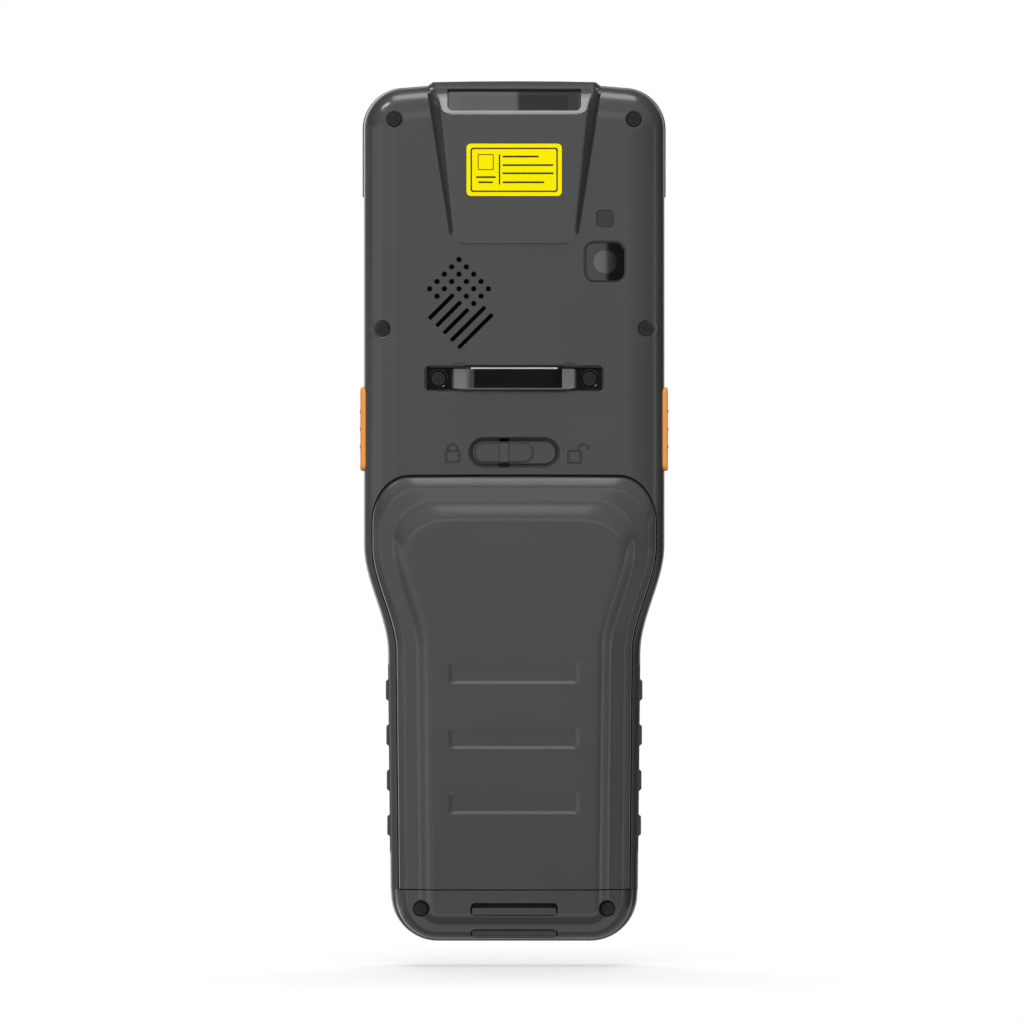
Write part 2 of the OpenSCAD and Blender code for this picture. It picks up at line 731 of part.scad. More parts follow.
module mid_frame() {
    low_depth = pad_board_depth + pad_board_t;
    frame_half = head_w / 2 - 3;
    color(steel) difference() {
        union() {
            block([-frame_half, frame_depth, step_z], [frame_half, frame_depth + frame_t, body_h - 12]);
            block([-pad_half, low_depth, pad_low_z + 0.6], [pad_half, low_depth + frame_t, step_z + frame_t]);
            block([-pad_half, frame_depth, step_z], [pad_half, low_depth + frame_t, step_z + frame_t]);
            for (side = [-1, 1]) {
                for (z = [board_foot_z + 6, board_head_z - 6])
                    post(side * (board_half - 6), z, 1.6, frame_depth + frame_t - fine, board_depth);
                translate([side * (ear_x + ear_t / 2), 0, trigger_z])
                    block([-ear_t / 2, frame_depth, -ear_half],
                          [ear_t / 2, trigger_mid + switch_half, ear_half]);
            }
            block([2 - engine_half, frame_depth, engine_foot_z + 1.5],
                  [engine_half - 2, engine_depth, engine_head_z - 1]);
        }
        frame_relief(frame_depth - 1, low_depth + frame_t + 1);
    }
}

shield_t = 1.6;
board_l = board_head_z - board_foot_z;
// Middle x, height up the board, half width and half height of the shields on it. The heights are
// shares of the board's length
shields = [[-15, 0.44, 11, 0.13], [9, 0.44, 9, 0.13], [-14, 0.83, 12, 0.11], [14, 0.145, 10, 0.07]];
module main_board() {
    color(steel) for (s = shields)
        block([s[0] - s[2], board_depth + board_t - fine, board_foot_z + (s[1] - s[3]) * board_l],
              [s[0] + s[2], board_depth + board_t + shield_t, board_foot_z + (s[1] + s[3]) * board_l]);
    color(board_green) difference() {
        block([-board_half, board_depth, board_foot_z], [board_half, board_depth + board_t, board_head_z]);
        frame_relief(board_depth - 1, board_depth + board_t + 1);
        for (side = [0, 1]) mirror([side, 0, 0])
            block([ear_x - ear_gap, board_depth - 1, trigger_z - ear_half - ear_gap],
                  [head_w, board_depth + board_t + 1, trigger_z + ear_half + ear_gap]);
    }
}

module keypad_board() {
    color(board_green)
        block([-pad_half, pad_board_depth, pad_low_z], [pad_half, pad_board_depth + pad_board_t, pad_high_z]);
}

dome_r = 2;
dome_t = 0.3;
module key_domes() {
    color(steel) key_spots() post(0, 0, dome_r, pad_board_depth - dome_t, pad_board_depth);
}

module keypad_seal() {
    color(black_plastic) slab(face_t, pad_board_depth) difference() {
        translate([-pad_half, pad_low_z]) square([2 * pad_half, pad_high_z - pad_low_z]);
        translate([-pad_half + 1, pad_low_z + 0.7])
            square([2 * pad_half - 2, pad_high_z - pad_low_z - 1.4]);
    }
}

module scan_window() {
    color(glass) at_window() translate([0, 0, -1 - scan_window_t / 2])
        cube([scan_window_w, scan_window_l, scan_window_t], center = true);
}

module scan_engine() {
    color(black_plastic) {
        block([-engine_half, engine_depth, engine_foot_z], [engine_half, engine_back, engine_head_z]);
        for (side = [-1, 1])
            translate([side * 4.8, place((engine_depth + engine_back) / 2), engine_head_z - fine])
                cylinder(r = 3.2, h = 0.9);
    }
}

module camera_window() {
    color(glass) translate([-camera_x, 0, camera_z])
        rounded_slab(0, 0, camera_window_w, camera_window_w, 2.1, body_t - 1.3, body_t - 0.4);
}

module camera_module() {
    half = 4.25;
    color(black_plastic) translate([-camera_x, 0, camera_z]) {
        block([-half, body_t - 8, -half], [half, body_t - 3, half]);
        post(0, 0, camera_lens_r, body_t - 3 - fine, body_t - 1.3 - skin);
    }
}

module flash_lens() {
    color(glass) translate([-camera_x, 0, camera_z + flash_rise])
        rounded_slab(0, 0, flash_w, flash_w, 0.9, body_t - wall, body_t - 0.25);
}

speaker_side = 17.4;
speaker_t = 4.5;
module speaker() {
    color(black_plastic) rounded_slab(speaker_x, speaker_z, speaker_side, speaker_side, 2,
                                      body_t - wall - speaker_t, body_t - wall - skin);
}

// ---- Strap bracket and fasteners ----

bracket_half = bracket_recess_l / 2 - bracket_gap;
bracket_w = bracket_recess_w - 2 * bracket_gap;
bridge_top = body_t + bridge_rise;
ramp_foot = 14.6;
ramp_head = 10.6;

module strap_bracket() {
    low = bracket_floor;
    high = bridge_top - bracket_t;
    upper = [[bracket_half, low + bracket_t], [ramp_foot, low + bracket_t], [ramp_head, bridge_top]];
    lower = [[ramp_head - 0.4, high], [ramp_foot - 0.4, low], [bracket_half, low]];
    half = concat(upper, [for (i = [2:-1:0]) [-upper[i].x, upper[i].y]],
                  [for (i = [2:-1:0]) [-lower[i].x, lower[i].y]], lower);
    color(black_plastic) difference() {
        translate([0, 0, bracket_z - bracket_w / 2]) linear_extrude(bracket_w)
            polygon([for (p = half) [p.x, place(p.y)]]);
        for (x = [-bracket_screw_x, bracket_screw_x])
            post(x, bracket_z, screw_r + 0.1, low - 1, low + bracket_t + 1);
    }
}

module screw(x, z, r, seat, end) {
    difference() {
        union() {
            post(x, z, r, seat, seat + screw_head_t);
            post(x, z, screw_r, end, seat + fine);
        }
        for (turn = [0, 90]) slab(seat + 0.5, seat + 2) translate([x, z]) rotate(turn)
            square([r * 1.1, 0.35], center = true);
    }
}

module strap_screws() {
    color(black_plastic) for (side = [-1, 1])
        screw(side * bracket_screw_x, bracket_z, 1.69, bracket_floor + bracket_t, bracket_screw_end + 0.3);
}

module housing_screws() {
    color(black_plastic) for (s = screw_spots) screw(s.x, s.y, screw_head_r, s.z, insert_foot + 0.4);
}

insert_r = 1.6;
insert_foot = front_t - 4.2;
insert_head = front_t - 0.3;
module threaded_inserts() {
    color(brass) for (s = screw_spots) difference() {
        post(s.x, s.y, insert_r, insert_foot, insert_head);
        post(s.x, s.y, screw_r + skin, insert_foot - 1, insert_head + 1);
    }
}

connector_z = 97;
module battery_connector() {
    color(brass) {
        block([-15, board_depth + board_t, connector_z - 2], [-5, bay_floor, connector_z + 2]);
        for (i = [0:3]) post(-13.6 + 2.4 * i, connector_z, 0.5, bay_floor - fine, bay_floor + 0.25);
    }
}

// ---- Grips, triggers, label, port ----

rib_h = 5.2;
rib_first_z = 26.9;
module grip() {
    grip_band(grip_pad_t, 0, pad_front + skin, pad_back - skin, pad_foot_z + skin, pad_head_z - skin);
    for (i = [0:rib_count - 1]) {
        z = rib_first_z + i * rib_pitch;
        x = side_x(z);
        slab(pad_front + 0.5, pad_back - 0.5) polygon([
            [x - 0.3, z - rib_h / 2], [x + rib_proud, z - rib_h / 2 + rib_proud],
            [x + rib_proud, z + rib_h / 2 - rib_proud], [x - 0.3, z + rib_h / 2]]);
    }
}
module right_grip() { color(rubber) grip(); }
module left_grip() { color(rubber) mirror([1, 0, 0]) grip(); }

module trigger_switches() {
    color(steel) for (side = [0, 1]) mirror([side, 0, 0]) {
        block([ear_x + ear_t, trigger_mid - switch_half, trigger_z - switch_half],
              [switch_back, trigger_mid + switch_half, trigger_z + switch_half]);
        translate([switch_back - fine, place(trigger_mid), trigger_z]) rotate([0, 90, 0])
            cylinder(r = 1.2, h = 0.3 + fine);
    }
}

bump_r = 1;
bump_pitch = 4.1;
module trigger() {
    inner = head_w / 2 - wall;
    outer = head_w / 2 + trigger_proud;
    color(orange) {
        translate([inner - 0.2, place(trigger_mid), trigger_z]) rotate([0, 90, 0])
            linear_extrude(outer - inner + 0.2) rounded(trigger_l, trigger_w, 1.6);
        translate([inner - slip - trigger_lip, place(trigger_mid), trigger_z]) rotate([0, 90, 0])
            linear_extrude(trigger_lip) rounded(trigger_l + lip_long, trigger_w + lip_wide, 1.6);
        for (i = [-1:1])
            translate([outer - bump_r + 0.25, place(trigger_depth + 1.2), trigger_z + i * bump_pitch])
                rotate([-90, 0, 0]) cylinder(r = bump_r, h = trigger_w - 2.4);
    }
}
module right_trigger() { trigger(); }
module left_trigger() { mirror([1, 0, 0]) trigger(); }

label_w = 22.1;
label_h = 12.2;
label_t = 0.12;
label_z = body_h - 20.65;
module asset_label() {
    depth = body_t + hood_step + (label_z - hood_edge_z) * tan(hood_slope);
    color(yellow) translate([0, place(depth), label_z]) rotate([-hood_slope, 0, 0])
        rotate([-90, 0, 0]) translate([0, 0, skin]) linear_extrude(label_t) rounded(label_w, label_h, 1);
}

module usb_socket() {
    shell = 0.3;
    half = socket_t / 2;
    pin_half = socket_half - 1.15;
    color(steel) difference() {
        block([-socket_half, port_mid - half, socket_foot_z],
              [socket_half, port_mid + half, pad_low_z - skin]);
        block([shell - socket_half, port_mid + shell - half, socket_foot_z - 1],
              [socket_half - shell, port_mid + half - shell, pad_low_z - 2]);
    }
    color(black_plastic)
        block([-pin_half, port_mid - 0.35, socket_foot_z + 3.2],
              [pin_half, port_mid + 0.35, pad_low_z - 2 + fine]);
}

module status_lens() {
    color(glass) post(status_x, earpiece_z, status_r, 0.15, face_t);
}

module port_cover() {
    color(rubber) {
        block([-port_cover_l / 2, port_mid - port_cover_w / 2, 0],
              [port_cover_l / 2, port_mid + port_cover_w / 2, port_cover_t]);
        block([1 - socket_half, port_mid - 1, port_cover_t - fine],
              [socket_half - 1, port_mid + 1, socket_foot_z - slip]);
    }
}

// ---- Battery and its lock ----

module lock_slider() {
    color(dark_plastic) {
        stadium_slab(lock_rest_x, lock_z, lock_slider_l, lock_slider_w, lock_floor + skin, body_t - 0.3);
        rounded_slab(lock_rest_x, lock_z, 2.3, lock_slider_w + 0.3, 0.4, body_t - 0.4, body_t + 0.35);
        block([lock_rest_x - stem_w / 2, tongue_depth + tongue_t, lock_z - stem_h / 2],
              [lock_rest_x + stem_w / 2, lock_floor + 1, lock_z + stem_h / 2]);
    }
}

module lock_tongue() {
    color(steel) block([lock_rest_x - tongue_w / 2, tongue_depth, cover_head - tongue_reach],
                       [lock_rest_x + tongue_w / 2, tongue_depth + tongue_t, lock_z + 2.5]);
}

skirt_depth = body_t - 5.5;
skirt_in = 0.9;         // the skirt stands in from the cover's edge, which makes room for the seal
lug_x = 14.5;
lug_w = 5;
lug_t = 1.5;
lug_depth = body_t - 3.2;
notch_w = 30.2;
notch_h = 5.2;
notch_pitch = 15.1;
notch_first_z = 32.4;
notch_deep = 0.6;

module battery_cover() {
    insets = concat([skirt_in, skirt_in, 0], [for (t = grip_turn) t[0]]);
    turn = [for (t = grip_turn) body_t + t[1] * (t[1] > 0 ? hump_h / 5 : 1)];
    depths = concat([skirt_depth, turn[0] - 1, turn[0] - 0.9 + fine], turn);
    color(dark_plastic) difference() {
        union() {
            intersection() {
                loft([for (i = insets) grip_outline(i, (cover_margin + i) * foot_squeeze)], depths);
                above(cover_foot);
            }
            for (side = [-1, 1])
                block([side * lug_x - lug_w / 2, lug_depth, cover_foot - 1.1],
                      [side * lug_x + lug_w / 2, lug_depth + lug_t, cover_foot + cover_wall]);
        }
        intersection() {
            grip_form(cavity_in, grip_root);
            above(cover_foot + cover_wall);
        }
        for (i = [0:2])
            rounded_slab(0, notch_first_z + i * notch_pitch, notch_w, notch_h, 0.8,
                         hump_depth - notch_deep, hump_depth + 1);
    }
}

cavity_in = cover_wall + skirt_in / 2;
pack_in = 2.9;          // the pack stands in from the cover's edge
pack_gap = 0.35;        // between the pack and the cover's roof
pack_low = body_t - 3.2; // depth at which the pack narrows to fit under the cover's rounded sides
pack_foot_z = cover_foot + cover_wall + 0.6;
pack_head_z = cover_head - 3.9;
keeper_w = 4.2;
module pack_slab(e, from, to) {
    slab(from, to) intersection() {
        polygon(grip_outline(e, 0));
        translate([-head_w, pack_foot_z]) square([2 * head_w, pack_head_z - pack_foot_z]);
    }
}
module battery_pack() {
    color(black_plastic) {
        pack_slab(pack_in, bay_floor + 0.3, pack_low);
        pack_slab(grip_turn[3][0] + cavity_in, pack_low - fine, body_t + grip_turn[3][1] - cavity_in - slip);
        pack_slab(grip_turn[6][0] + cavity_in, pack_low, hump_depth - cavity_in - pack_gap);
        block([lock_rest_x - keeper_w / 2, tongue_depth - 1.6, pack_head_z - 1],
              [lock_rest_x + keeper_w / 2, tongue_depth - 0.3, cover_head - 1]);
    }
}

module battery_seal() {
    lip = skirt_in - 0.5;
    color(rubber) slab(skirt_depth + 0.6, skirt_depth + 2.4) intersection() {
        difference() {
            polygon(grip_outline(lip, (cover_margin + lip) * foot_squeeze));
            polygon(grip_outline(skirt_in, (cover_margin + skirt_in) * foot_squeeze));
        }
        translate([-head_w, cover_foot]) square([2 * head_w, body_h]);
    }
}

// ---- Keys ----

key_flange = 0.5;       // how far a key's flange reaches past its cap
module key(i) {
    tone = i == 1 ? orange : i < 12 ? dark_plastic : black_plastic;
    color(tone) translate([key_x(i), 0, key_z(i)]) {
        rounded_slab(0, 0, key_w, key_h, 1.6, -key_proud, face_t + slip);
        rounded_slab(0, 0, key_w + 2 * key_gap + 2 * key_flange, key_h + 2 * key_gap + 2 * key_flange, 1.6,
                     face_t + slip - fine, face_t + 0.8);
        post(0, 0, 1.2, face_t + 0.8 - fine, pad_board_depth - dome_t - key_travel - slip);
    }
}

front_housing();
rear_housing();
top_bumper();
housing_seal();
display_window();
display_module();
mid_frame();
main_board();
keypad_board();
key_domes();
keypad_seal();
scan_window();
scan_engine();
camera_window();
camera_module();
flash_lens();
speaker();
strap_bracket();
strap_screws();
housing_screws();
threaded_inserts();
battery_connector();
left_grip();
right_grip();
trigger_switches();
asset_label();
usb_socket();
status_lens();
port_cover();
lock_slider();
lock_tongue();
battery_cover();
battery_pack();
battery_seal();
left_trigger();
right_trigger();
for (i = [0:len(PAD_NODES) - 1])
    key(i);
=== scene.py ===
"""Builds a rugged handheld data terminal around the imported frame, with its finishes and a small studio."""

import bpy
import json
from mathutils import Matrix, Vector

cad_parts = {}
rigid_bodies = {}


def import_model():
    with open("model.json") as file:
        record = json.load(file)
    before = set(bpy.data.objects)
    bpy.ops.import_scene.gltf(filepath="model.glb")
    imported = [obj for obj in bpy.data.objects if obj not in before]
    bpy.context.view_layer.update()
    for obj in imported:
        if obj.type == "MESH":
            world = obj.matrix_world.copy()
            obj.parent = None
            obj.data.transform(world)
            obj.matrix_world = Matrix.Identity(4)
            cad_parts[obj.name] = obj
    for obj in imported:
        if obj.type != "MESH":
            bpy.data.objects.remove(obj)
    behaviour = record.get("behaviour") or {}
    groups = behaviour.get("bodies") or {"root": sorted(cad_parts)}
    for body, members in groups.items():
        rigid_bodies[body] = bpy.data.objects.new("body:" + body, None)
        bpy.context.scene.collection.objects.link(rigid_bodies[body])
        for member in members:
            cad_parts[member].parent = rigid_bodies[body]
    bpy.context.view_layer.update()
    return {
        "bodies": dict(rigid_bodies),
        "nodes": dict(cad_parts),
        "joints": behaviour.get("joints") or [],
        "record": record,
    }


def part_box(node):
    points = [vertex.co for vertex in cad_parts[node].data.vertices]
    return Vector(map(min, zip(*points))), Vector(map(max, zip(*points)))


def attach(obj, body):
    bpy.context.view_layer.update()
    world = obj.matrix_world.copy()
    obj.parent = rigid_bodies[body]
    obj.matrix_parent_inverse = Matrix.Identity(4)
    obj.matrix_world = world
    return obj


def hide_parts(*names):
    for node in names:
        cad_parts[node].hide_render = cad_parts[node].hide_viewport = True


bl_info = {
    "name": "Data terminal",
    "version": (1, 0, 0),
    "blender": (4, 5, 0),
    "location": "View3D > Sidebar > Terminal",
    "description": "Builds a rugged handheld data terminal and a studio around it",
    "category": "Object",
}

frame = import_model()

import json
import math

import bmesh
import bpy
import numpy as np
from bpy.props import FloatProperty, FloatVectorProperty, IntProperty, PointerProperty
from mathutils import Matrix, Vector
from mathutils.bvhtree import BVHTree

MM = 0.001

# ---- Sizes in millimetres: x to the side, depth from the display's face to the back, z up ----

HUMP_DEPTH = 27.5
MID = HUMP_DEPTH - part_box("battery_cover")[1].y / MM   # depth at which Y is 0
BODY_T = 22.5
FRONT_T = 9.5
FACE_T = 2.4
WALL = 2.0

HEAD_HALF = 35.0
GRIP_HALF = 29.4
FOOT_HALF = 28.7
WAIST_Z = 67.0
SHOULDER_Z = 92.0
BODY_TOP = 199.6
FOOT_CORNER = 11.0
TOP_CORNER = 9.4
TOP_CROWN = 1.2
TURN_IN, TURN_DOWN, TURN_POWER = 8.5, 7.0, 2.05

COVER_MARGIN = 2.1
COVER_HEAD = 108.2
COVER_FOOT = 12.3
COVER_GAP = 0.25
COVER_CORNER = (8.5, 11.0)
PLATEAU_CORNER = (10.5, 8.0)
FLANK_SHARE = 0.75
SLOPE_IN = 11.2
# Inset and depth of the slope from the cover's edge up to its plateau
COVER_SLOPE = [(0.0, -1.2), (0.05, -0.95), (0.28, -0.3), (0.5, -0.1), (1.4, 0.62), (2.2, 1.25), (2.5, 1.43),
               (2.8, 1.54), (3.4, 1.66), (4.6, 1.88), (5.6, 2.07), (6.0, 2.17), (6.4, 2.36), (7.2, 2.96),
               (8.2, 3.74), (9.0, 4.32), (9.5, 4.63), (9.9, 4.81), (10.4, 4.93), (11.0, 4.98), (11.8, 5.0)]
# The same slope at the housing's foot, carried further out at its lower end
FOOT_SLOPE = [(-0.9, -3.3), (-0.5, -2.2), (0.0, -1.2), (0.5, -0.35)] + COVER_SLOPE[4:]

BAY_FOOT = 12.05
BAY_FLOOR = 12.4
BAY_WALL = 1.5

SCREWS = [(27.85, 191.0, 20.7), (30.6, 142.4, 20.7), (21.6, 7.75, 22.7)]   # x, z, depth of the seat
SCREW_HEAD_R, SCREW_HEAD_T, SCREW_R = 1.75, 1.1, 0.95
RECESS_R, RECESS_RIM, BOSS_R = 1.92, 0.26, 2.8

BRACKET_Z, BRACKET_FLOOR = 130.8, 20.0
BRACKET_SCREW_X = 17.6
LOCK_Z, LOCK_X = 113.6, 2.35
LOCK_TRACK_MORE = 14.1                  # how much wider the slider's track is than it is high
STRAP_FLOOR = 17.2                      # depth of the channel behind the strap bar at the foot
CAMERA_X, CAMERA_Z = -21.1, 157.9
FLASH_RISE = 10.05                      # from the camera up to the flash
FLASH_Z = CAMERA_Z + FLASH_RISE
SPEAKER_X, SPEAKER_Z = 12.8, 148.2
SOUND_PITCH, SOUND_HOLE_R, SOUND_SLOT_W = 1.703, 0.6, 0.92
TRIGGER_Z, TRIGGER_L, TRIGGER_W, TRIGGER_MID = 119.1, 19.5, 7.2, 14.0
PAD_LOW, PAD_HIGH, PAD_FRONT, PAD_BACK = 20.0, 65.0, 11.0, 17.0
RIB_Z, RIB_PITCH, RIB_COUNT, RIB_H = 26.9, 10.5, 4, 5.2

WINDOW_MID_Z, WINDOW_W, WINDOW_L = 139.6, 61.0, 101.6
KEY_W, KEY_H, KEY_PITCH_X, KEY_PITCH_Z, KEY_FIRST_Z, KEY_PROUD = 13.0, 6.8, 15.6, 9.0, 16.6, 0.4
PORT_MID, PORT_L, PORT_W = 5.4, 26.8, 5.4
BUMPER_FOOT, BUMPER_T, BUMPER_FRONT, BUMPER_BACK = 173.3, 0.9, 2.6, 9.3

SCAN_ANGLE = math.atan2(7.6, 7.2)       # tilt of the scan window
SCAN_MID = (0.0, 23.87, 195.4)          # x, depth, z
SCAN_W, SCAN_L, SCAN_SET = 30.6, 7.2, 0.75

HOOD_Z, HOOD_HALF, HOOD_SPREAD = 167.2, 15.28, 0.157     # a height, the half width there, its gain per mm
ROOF_Z, ROOF_DEPTH, ROOF_RISE = 163.2, 23.1, 0.1349      # a height, the roof's depth there, its gain per mm
HOOD_FOOT, HOOD_CORNER = 162.0, 3.0        # lower end of the hood, radius of its lower corners
MOAT_LOW, MOAT_HIGH, MOAT_DEEP = 164.2, 197.6, 0.9       # ends and depth of the channels beside the hood
LABEL_Z = 179.2
EARPIECE_Z, KEYPAD_Z = 195.1, 48.1

KEYS = ["soft_left", "scan", "soft_right", "back", "up", "power", "left", "ok", "right", "fn", "down",
        "delete", "1", "2", "3", "4", "5", "6", "7", "8", "9", "star", "0", "hash"]


# ---- Meshes ----

def added(name, data):
    """A new object in the scene."""
    made = bpy.data.objects.new(name, data)
    bpy.context.scene.collection.objects.link(made)
    return made


def solid(points, faces):
    """A closed work mesh in millimetres, faces turned outwards."""
    mesh = bpy.data.meshes.new("work")
    mesh.from_pydata([tuple(p) for p in points], [], faces)
    form = bmesh.new()
    form.from_mesh(mesh)
    bmesh.ops.recalc_face_normals(form, faces=form.faces)
    if form.calc_volume(signed=True) < 0:
        bmesh.ops.reverse_faces(form, faces=form.faces)
    form.to_mesh(mesh)
    form.free()
    return added("work", mesh)


def loft(rings, depths):
    """Joins rings of x and z points, each at its depth or depths, into one closed solid."""
    count = len(rings[0])
    points = []
    for ring, depth in zip(rings, depths):
        depth = np.broadcast_to(depth, count)
        points += [(p[0], d - MID, p[1]) for p, d in zip(ring, depth)]
    faces = [list(range(count)), [(len(rings) - 1) * count + i for i in range(count)]]
    for k in range(len(rings) - 1):
        a, b = k * count, (k + 1) * count
        faces += [[a + i, a + (i + 1) % count, b + (i + 1) % count, b + i] for i in range(count)]
    return solid(points, faces)


def stacked(outline, spots):
    """An outline taken in step by step, each spot an inset and its depth, as one solid."""
    return loft([outline(i) for i, d in spots], [d for i, d in spots])


def slab(ring, low, high):
    """A flat outline as a plate from one depth to another."""
    return loft([ring, ring], [low, high])


def box(low, high):
    """A block between two corners, each x, depth and z."""
    (x0, d0, z0), (x1, d1, z1) = low, high
    return slab(np.array([(x0, z0), (x1, z0), (x1, z1), (x0, z1)]), d0, d1)


def above(z, back=40, top=150):
    """A block that holds everything above a height."""
    return box((-50, 0, z), (50, back, top))


def hull(points):
    """The convex solid around points given as x, depth and z."""
    mesh = bpy.data.meshes.new("work")
    form = bmesh.new()
    for x, depth, z in points:
        form.verts.new((x, depth - MID, z))
    made = bmesh.ops.convex_hull(form, input=form.verts)
    loose = [g for g in made["geom_interior"] if isinstance(g, bmesh.types.BMVert)]
    bmesh.ops.delete(form, geom=loose, context="VERTS")
    bmesh.ops.recalc_face_normals(form, faces=form.faces)
    form.to_mesh(mesh)
    form.free()
    return added("work", mesh)


def baked(work, keep_normals=False):
    """Turns an object's modifiers into a plain mesh."""
    graph = bpy.context.evaluated_depsgraph_get()
    mesh = bpy.data.meshes.new_from_object(work.evaluated_get(graph), preserve_all_data_layers=keep_normals,
                                           depsgraph=graph)
    work.modifiers.clear()
    work.data = mesh
    return work


def combine(base, tools, operation="DIFFERENCE"):
    """Adds, cuts or intersects solids, one after another."""
    for tool in tools:
        step = base.modifiers.new("combine", "BOOLEAN")
        step.operation = operation
        step.solver = "MANIFOLD"
        step.object = tool
    baked(base)
    for tool in tools:
        bpy.data.objects.remove(tool)
    return base


def join(solids):
    """Several solids that don't touch, as one mesh. A solid may come with the number of its material."""
    form = bmesh.new()
    for one in solids:
        one, number = one if isinstance(one, tuple) else (one, None)
        if number is not None:
            for face in one.data.polygons:
                face.material_index = number
        form.from_mesh(one.data)
        bpy.data.objects.remove(one)
    mesh = bpy.data.meshes.new("work")
    form.to_mesh(mesh)
    form.free()
    return added("work", mesh)


def placed(work, matrix):
    """A work solid moved by a matrix in millimetres."""
    work.data.transform(matrix)
    return work


def sideways(work, x, depth, z):
    """Turns a solid built around the origin to have its thickness along x, and puts it in its place."""
    turn = Matrix(((0, 1, 0, x), (-1, 0, 0, depth - MID), (0, 0, 1, z), (0, 0, 0, 1)))
    return placed(work, turn)


def plate(outline, low, high, rim=0.0):
    """A plate around the origin between two heights along its thickness, its upper rim rounded."""
    if rim == 0:
        return slab(outline(0), low + MID, high + MID)
    rings, depths = [outline(0), outline(0)], [low, high - rim]
    for a in np.radians([30, 60, 90]):
        rings.append(outline(-rim * (1 - math.cos(a))))
        depths.append(high - rim * (1 - math.sin(a)))
    return loft(rings, [d + MID for d in depths])


def mirrored(work):
    """A solid turned into its mirror image on the other side, faces still outwards."""
    work.data.transform(Matrix.Scale(-1, 4, (1, 0, 0)))
    work.data.flip_normals()
    return work


def sharpen_flats(mesh, least=math.radians(3), broad=3e-5):
    """Keeps a broad flat face from bending its shading towards the small faces beside it."""
    form = bmesh.new()
    form.from_mesh(mesh)
    for edge in form.edges:
        if len(edge.link_faces) == 2 and edge.smooth:
            small, large = sorted(face.calc_area() for face in edge.link_faces)
            if large > broad and small < large / 20 and edge.calc_face_angle() > least:
                edge.smooth = False
    form.to_mesh(mesh)
    form.free()


def finish(work, name, body, materials, replaces=(), angle=32):
    """Names a solid, brings it to metres, gives it clean shading and lets it ride on its body."""
    work.name = name
    work.data.name = name
    work.data.transform(Matrix.Scale(MM, 4))
    form = bmesh.new()
    form.from_mesh(work.data)
    bmesh.ops.remove_doubles(form, verts=form.verts, dist=2e-6)
    bmesh.ops.dissolve_degenerate(form, edges=form.edges, dist=1e-6)
    form.to_mesh(work.data)
    form.free()
    if not isinstance(materials, (list, tuple)):
        materials = [materials]
    if work.data.materials:      # clearing also sets every face back to the first finish
        work.data.materials.clear()
    for one in materials:
        work.data.materials.append(MATERIALS[one])
    work.data.shade_smooth()
    work.data.set_sharp_from_angle(angle=math.radians(angle))
    sharpen_flats(work.data)
    weighted = work.modifiers.new("normals", "WEIGHTED_NORMAL")
    weighted.keep_sharp = True
    weighted.weight = 80
    baked(work, keep_normals=True)
    work.data.name = name
    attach(work, body)
    if replaces:
        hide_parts(*replaces)
    return work


# ---- Outlines ----

def side_x(z):
    """Half width of the body at a height: the grip, the sway and the head."""
    z = np.asarray(z, float)
    grip = GRIP_HALF - (GRIP_HALF - FOOT_HALF) * (1 - z / WAIST_Z)
    t = np.clip((z - WAIST_Z) / (SHOULDER_Z - WAIST_Z), 0, 1)
    sway = GRIP_HALF + (HEAD_HALF - GRIP_HALF) * t * t * (3 - 2 * t)
    return np.where(z <= WAIST_Z, grip, sway)


def ring(side, head_z, foot_z, corner, crown, steps):
    """A closed outline, its sides taken in by side, from the foot up and round."""
    foot_r = max(FOOT_CORNER - side, 1.0)
    turn = np.radians(np.linspace(-90, 0, 14))
    foot_x = FOOT_HALF - side - foot_r
    foot = np.c_[foot_x + foot_r * np.cos(turn), foot_z + foot_r * (1 + np.sin(turn))]
    corner_z = head_z - crown - corner[1]
    z = np.linspace(foot_z + foot_r, corner_z, steps + 2)[1:-1]
    sides = np.c_[side_x(z) - side, z]
    turn = np.radians(np.linspace(0, 90, 18))
    head_x = float(side_x(corner_z)) - side - corner[0]
    head = np.c_[head_x + corner[0] * np.cos(turn), corner_z + corner[1] * np.sin(turn)]
    share = np.linspace(0.9, 0.05, 9)
    top = np.c_[head_x * share, head_z - crown * share ** 2]
    right = np.vstack([foot, sides, head, top])
    return np.vstack([right, right[::-1] * (-1, 1)])


def body_ring(e):
    """Outline of the body, taken in by e."""
    r = max(TOP_CORNER - e, 1.0)
    return ring(e, BODY_TOP - e, e, (r, r), TOP_CROWN, 110)


def cover_ring(e, foot_z=None):
    """Outline of the battery cover, taken in by e at its upper edge and by less at its flanks."""
    side = e * FLANK_SHARE if e > 0 else e
    t = min(max(e / SLOPE_IN, 0), 1)
    corner = [a + (b - a) * t for a, b in zip(COVER_CORNER, PLATEAU_CORNER)]
    if e < 0:
        corner = [c - e for c in corner]
    foot_z = (COVER_MARGIN + e) * 0.5 if foot_z is None else foot_z
    return ring(COVER_MARGIN + side, COVER_HEAD - e, foot_z, corner, 0.1, 96)


def rounded(w, h, r, x=0.0, z=0.0, turn=0.0, steps=6):
    """A rectangle with round corners, or a disc or slot where r is half its width or height."""
    a = np.radians(np.linspace(0, 90, steps + 1))
    arc = np.c_[np.cos(a), np.sin(a)] * r
    points = []
    for k, (sx, sz) in enumerate([(1, 1), (-1, 1), (-1, -1), (1, -1)]):
        c, s = [(1, 0), (0, 1), (-1, 0), (0, -1)][k]
        points.append(arc @ np.array([[c, s], [-s, c]]) + (sx * (w / 2 - r), sz * (h / 2 - r)))
    points = np.vstack(points)
    keep = np.linalg.norm(points - np.roll(points, 1, 0), axis=1) > 1e-5
    points = points[keep]
    c, s = math.cos(math.radians(turn)), math.sin(math.radians(turn))
    return points @ np.array([[c, s], [-s, c]]) + (x, z)


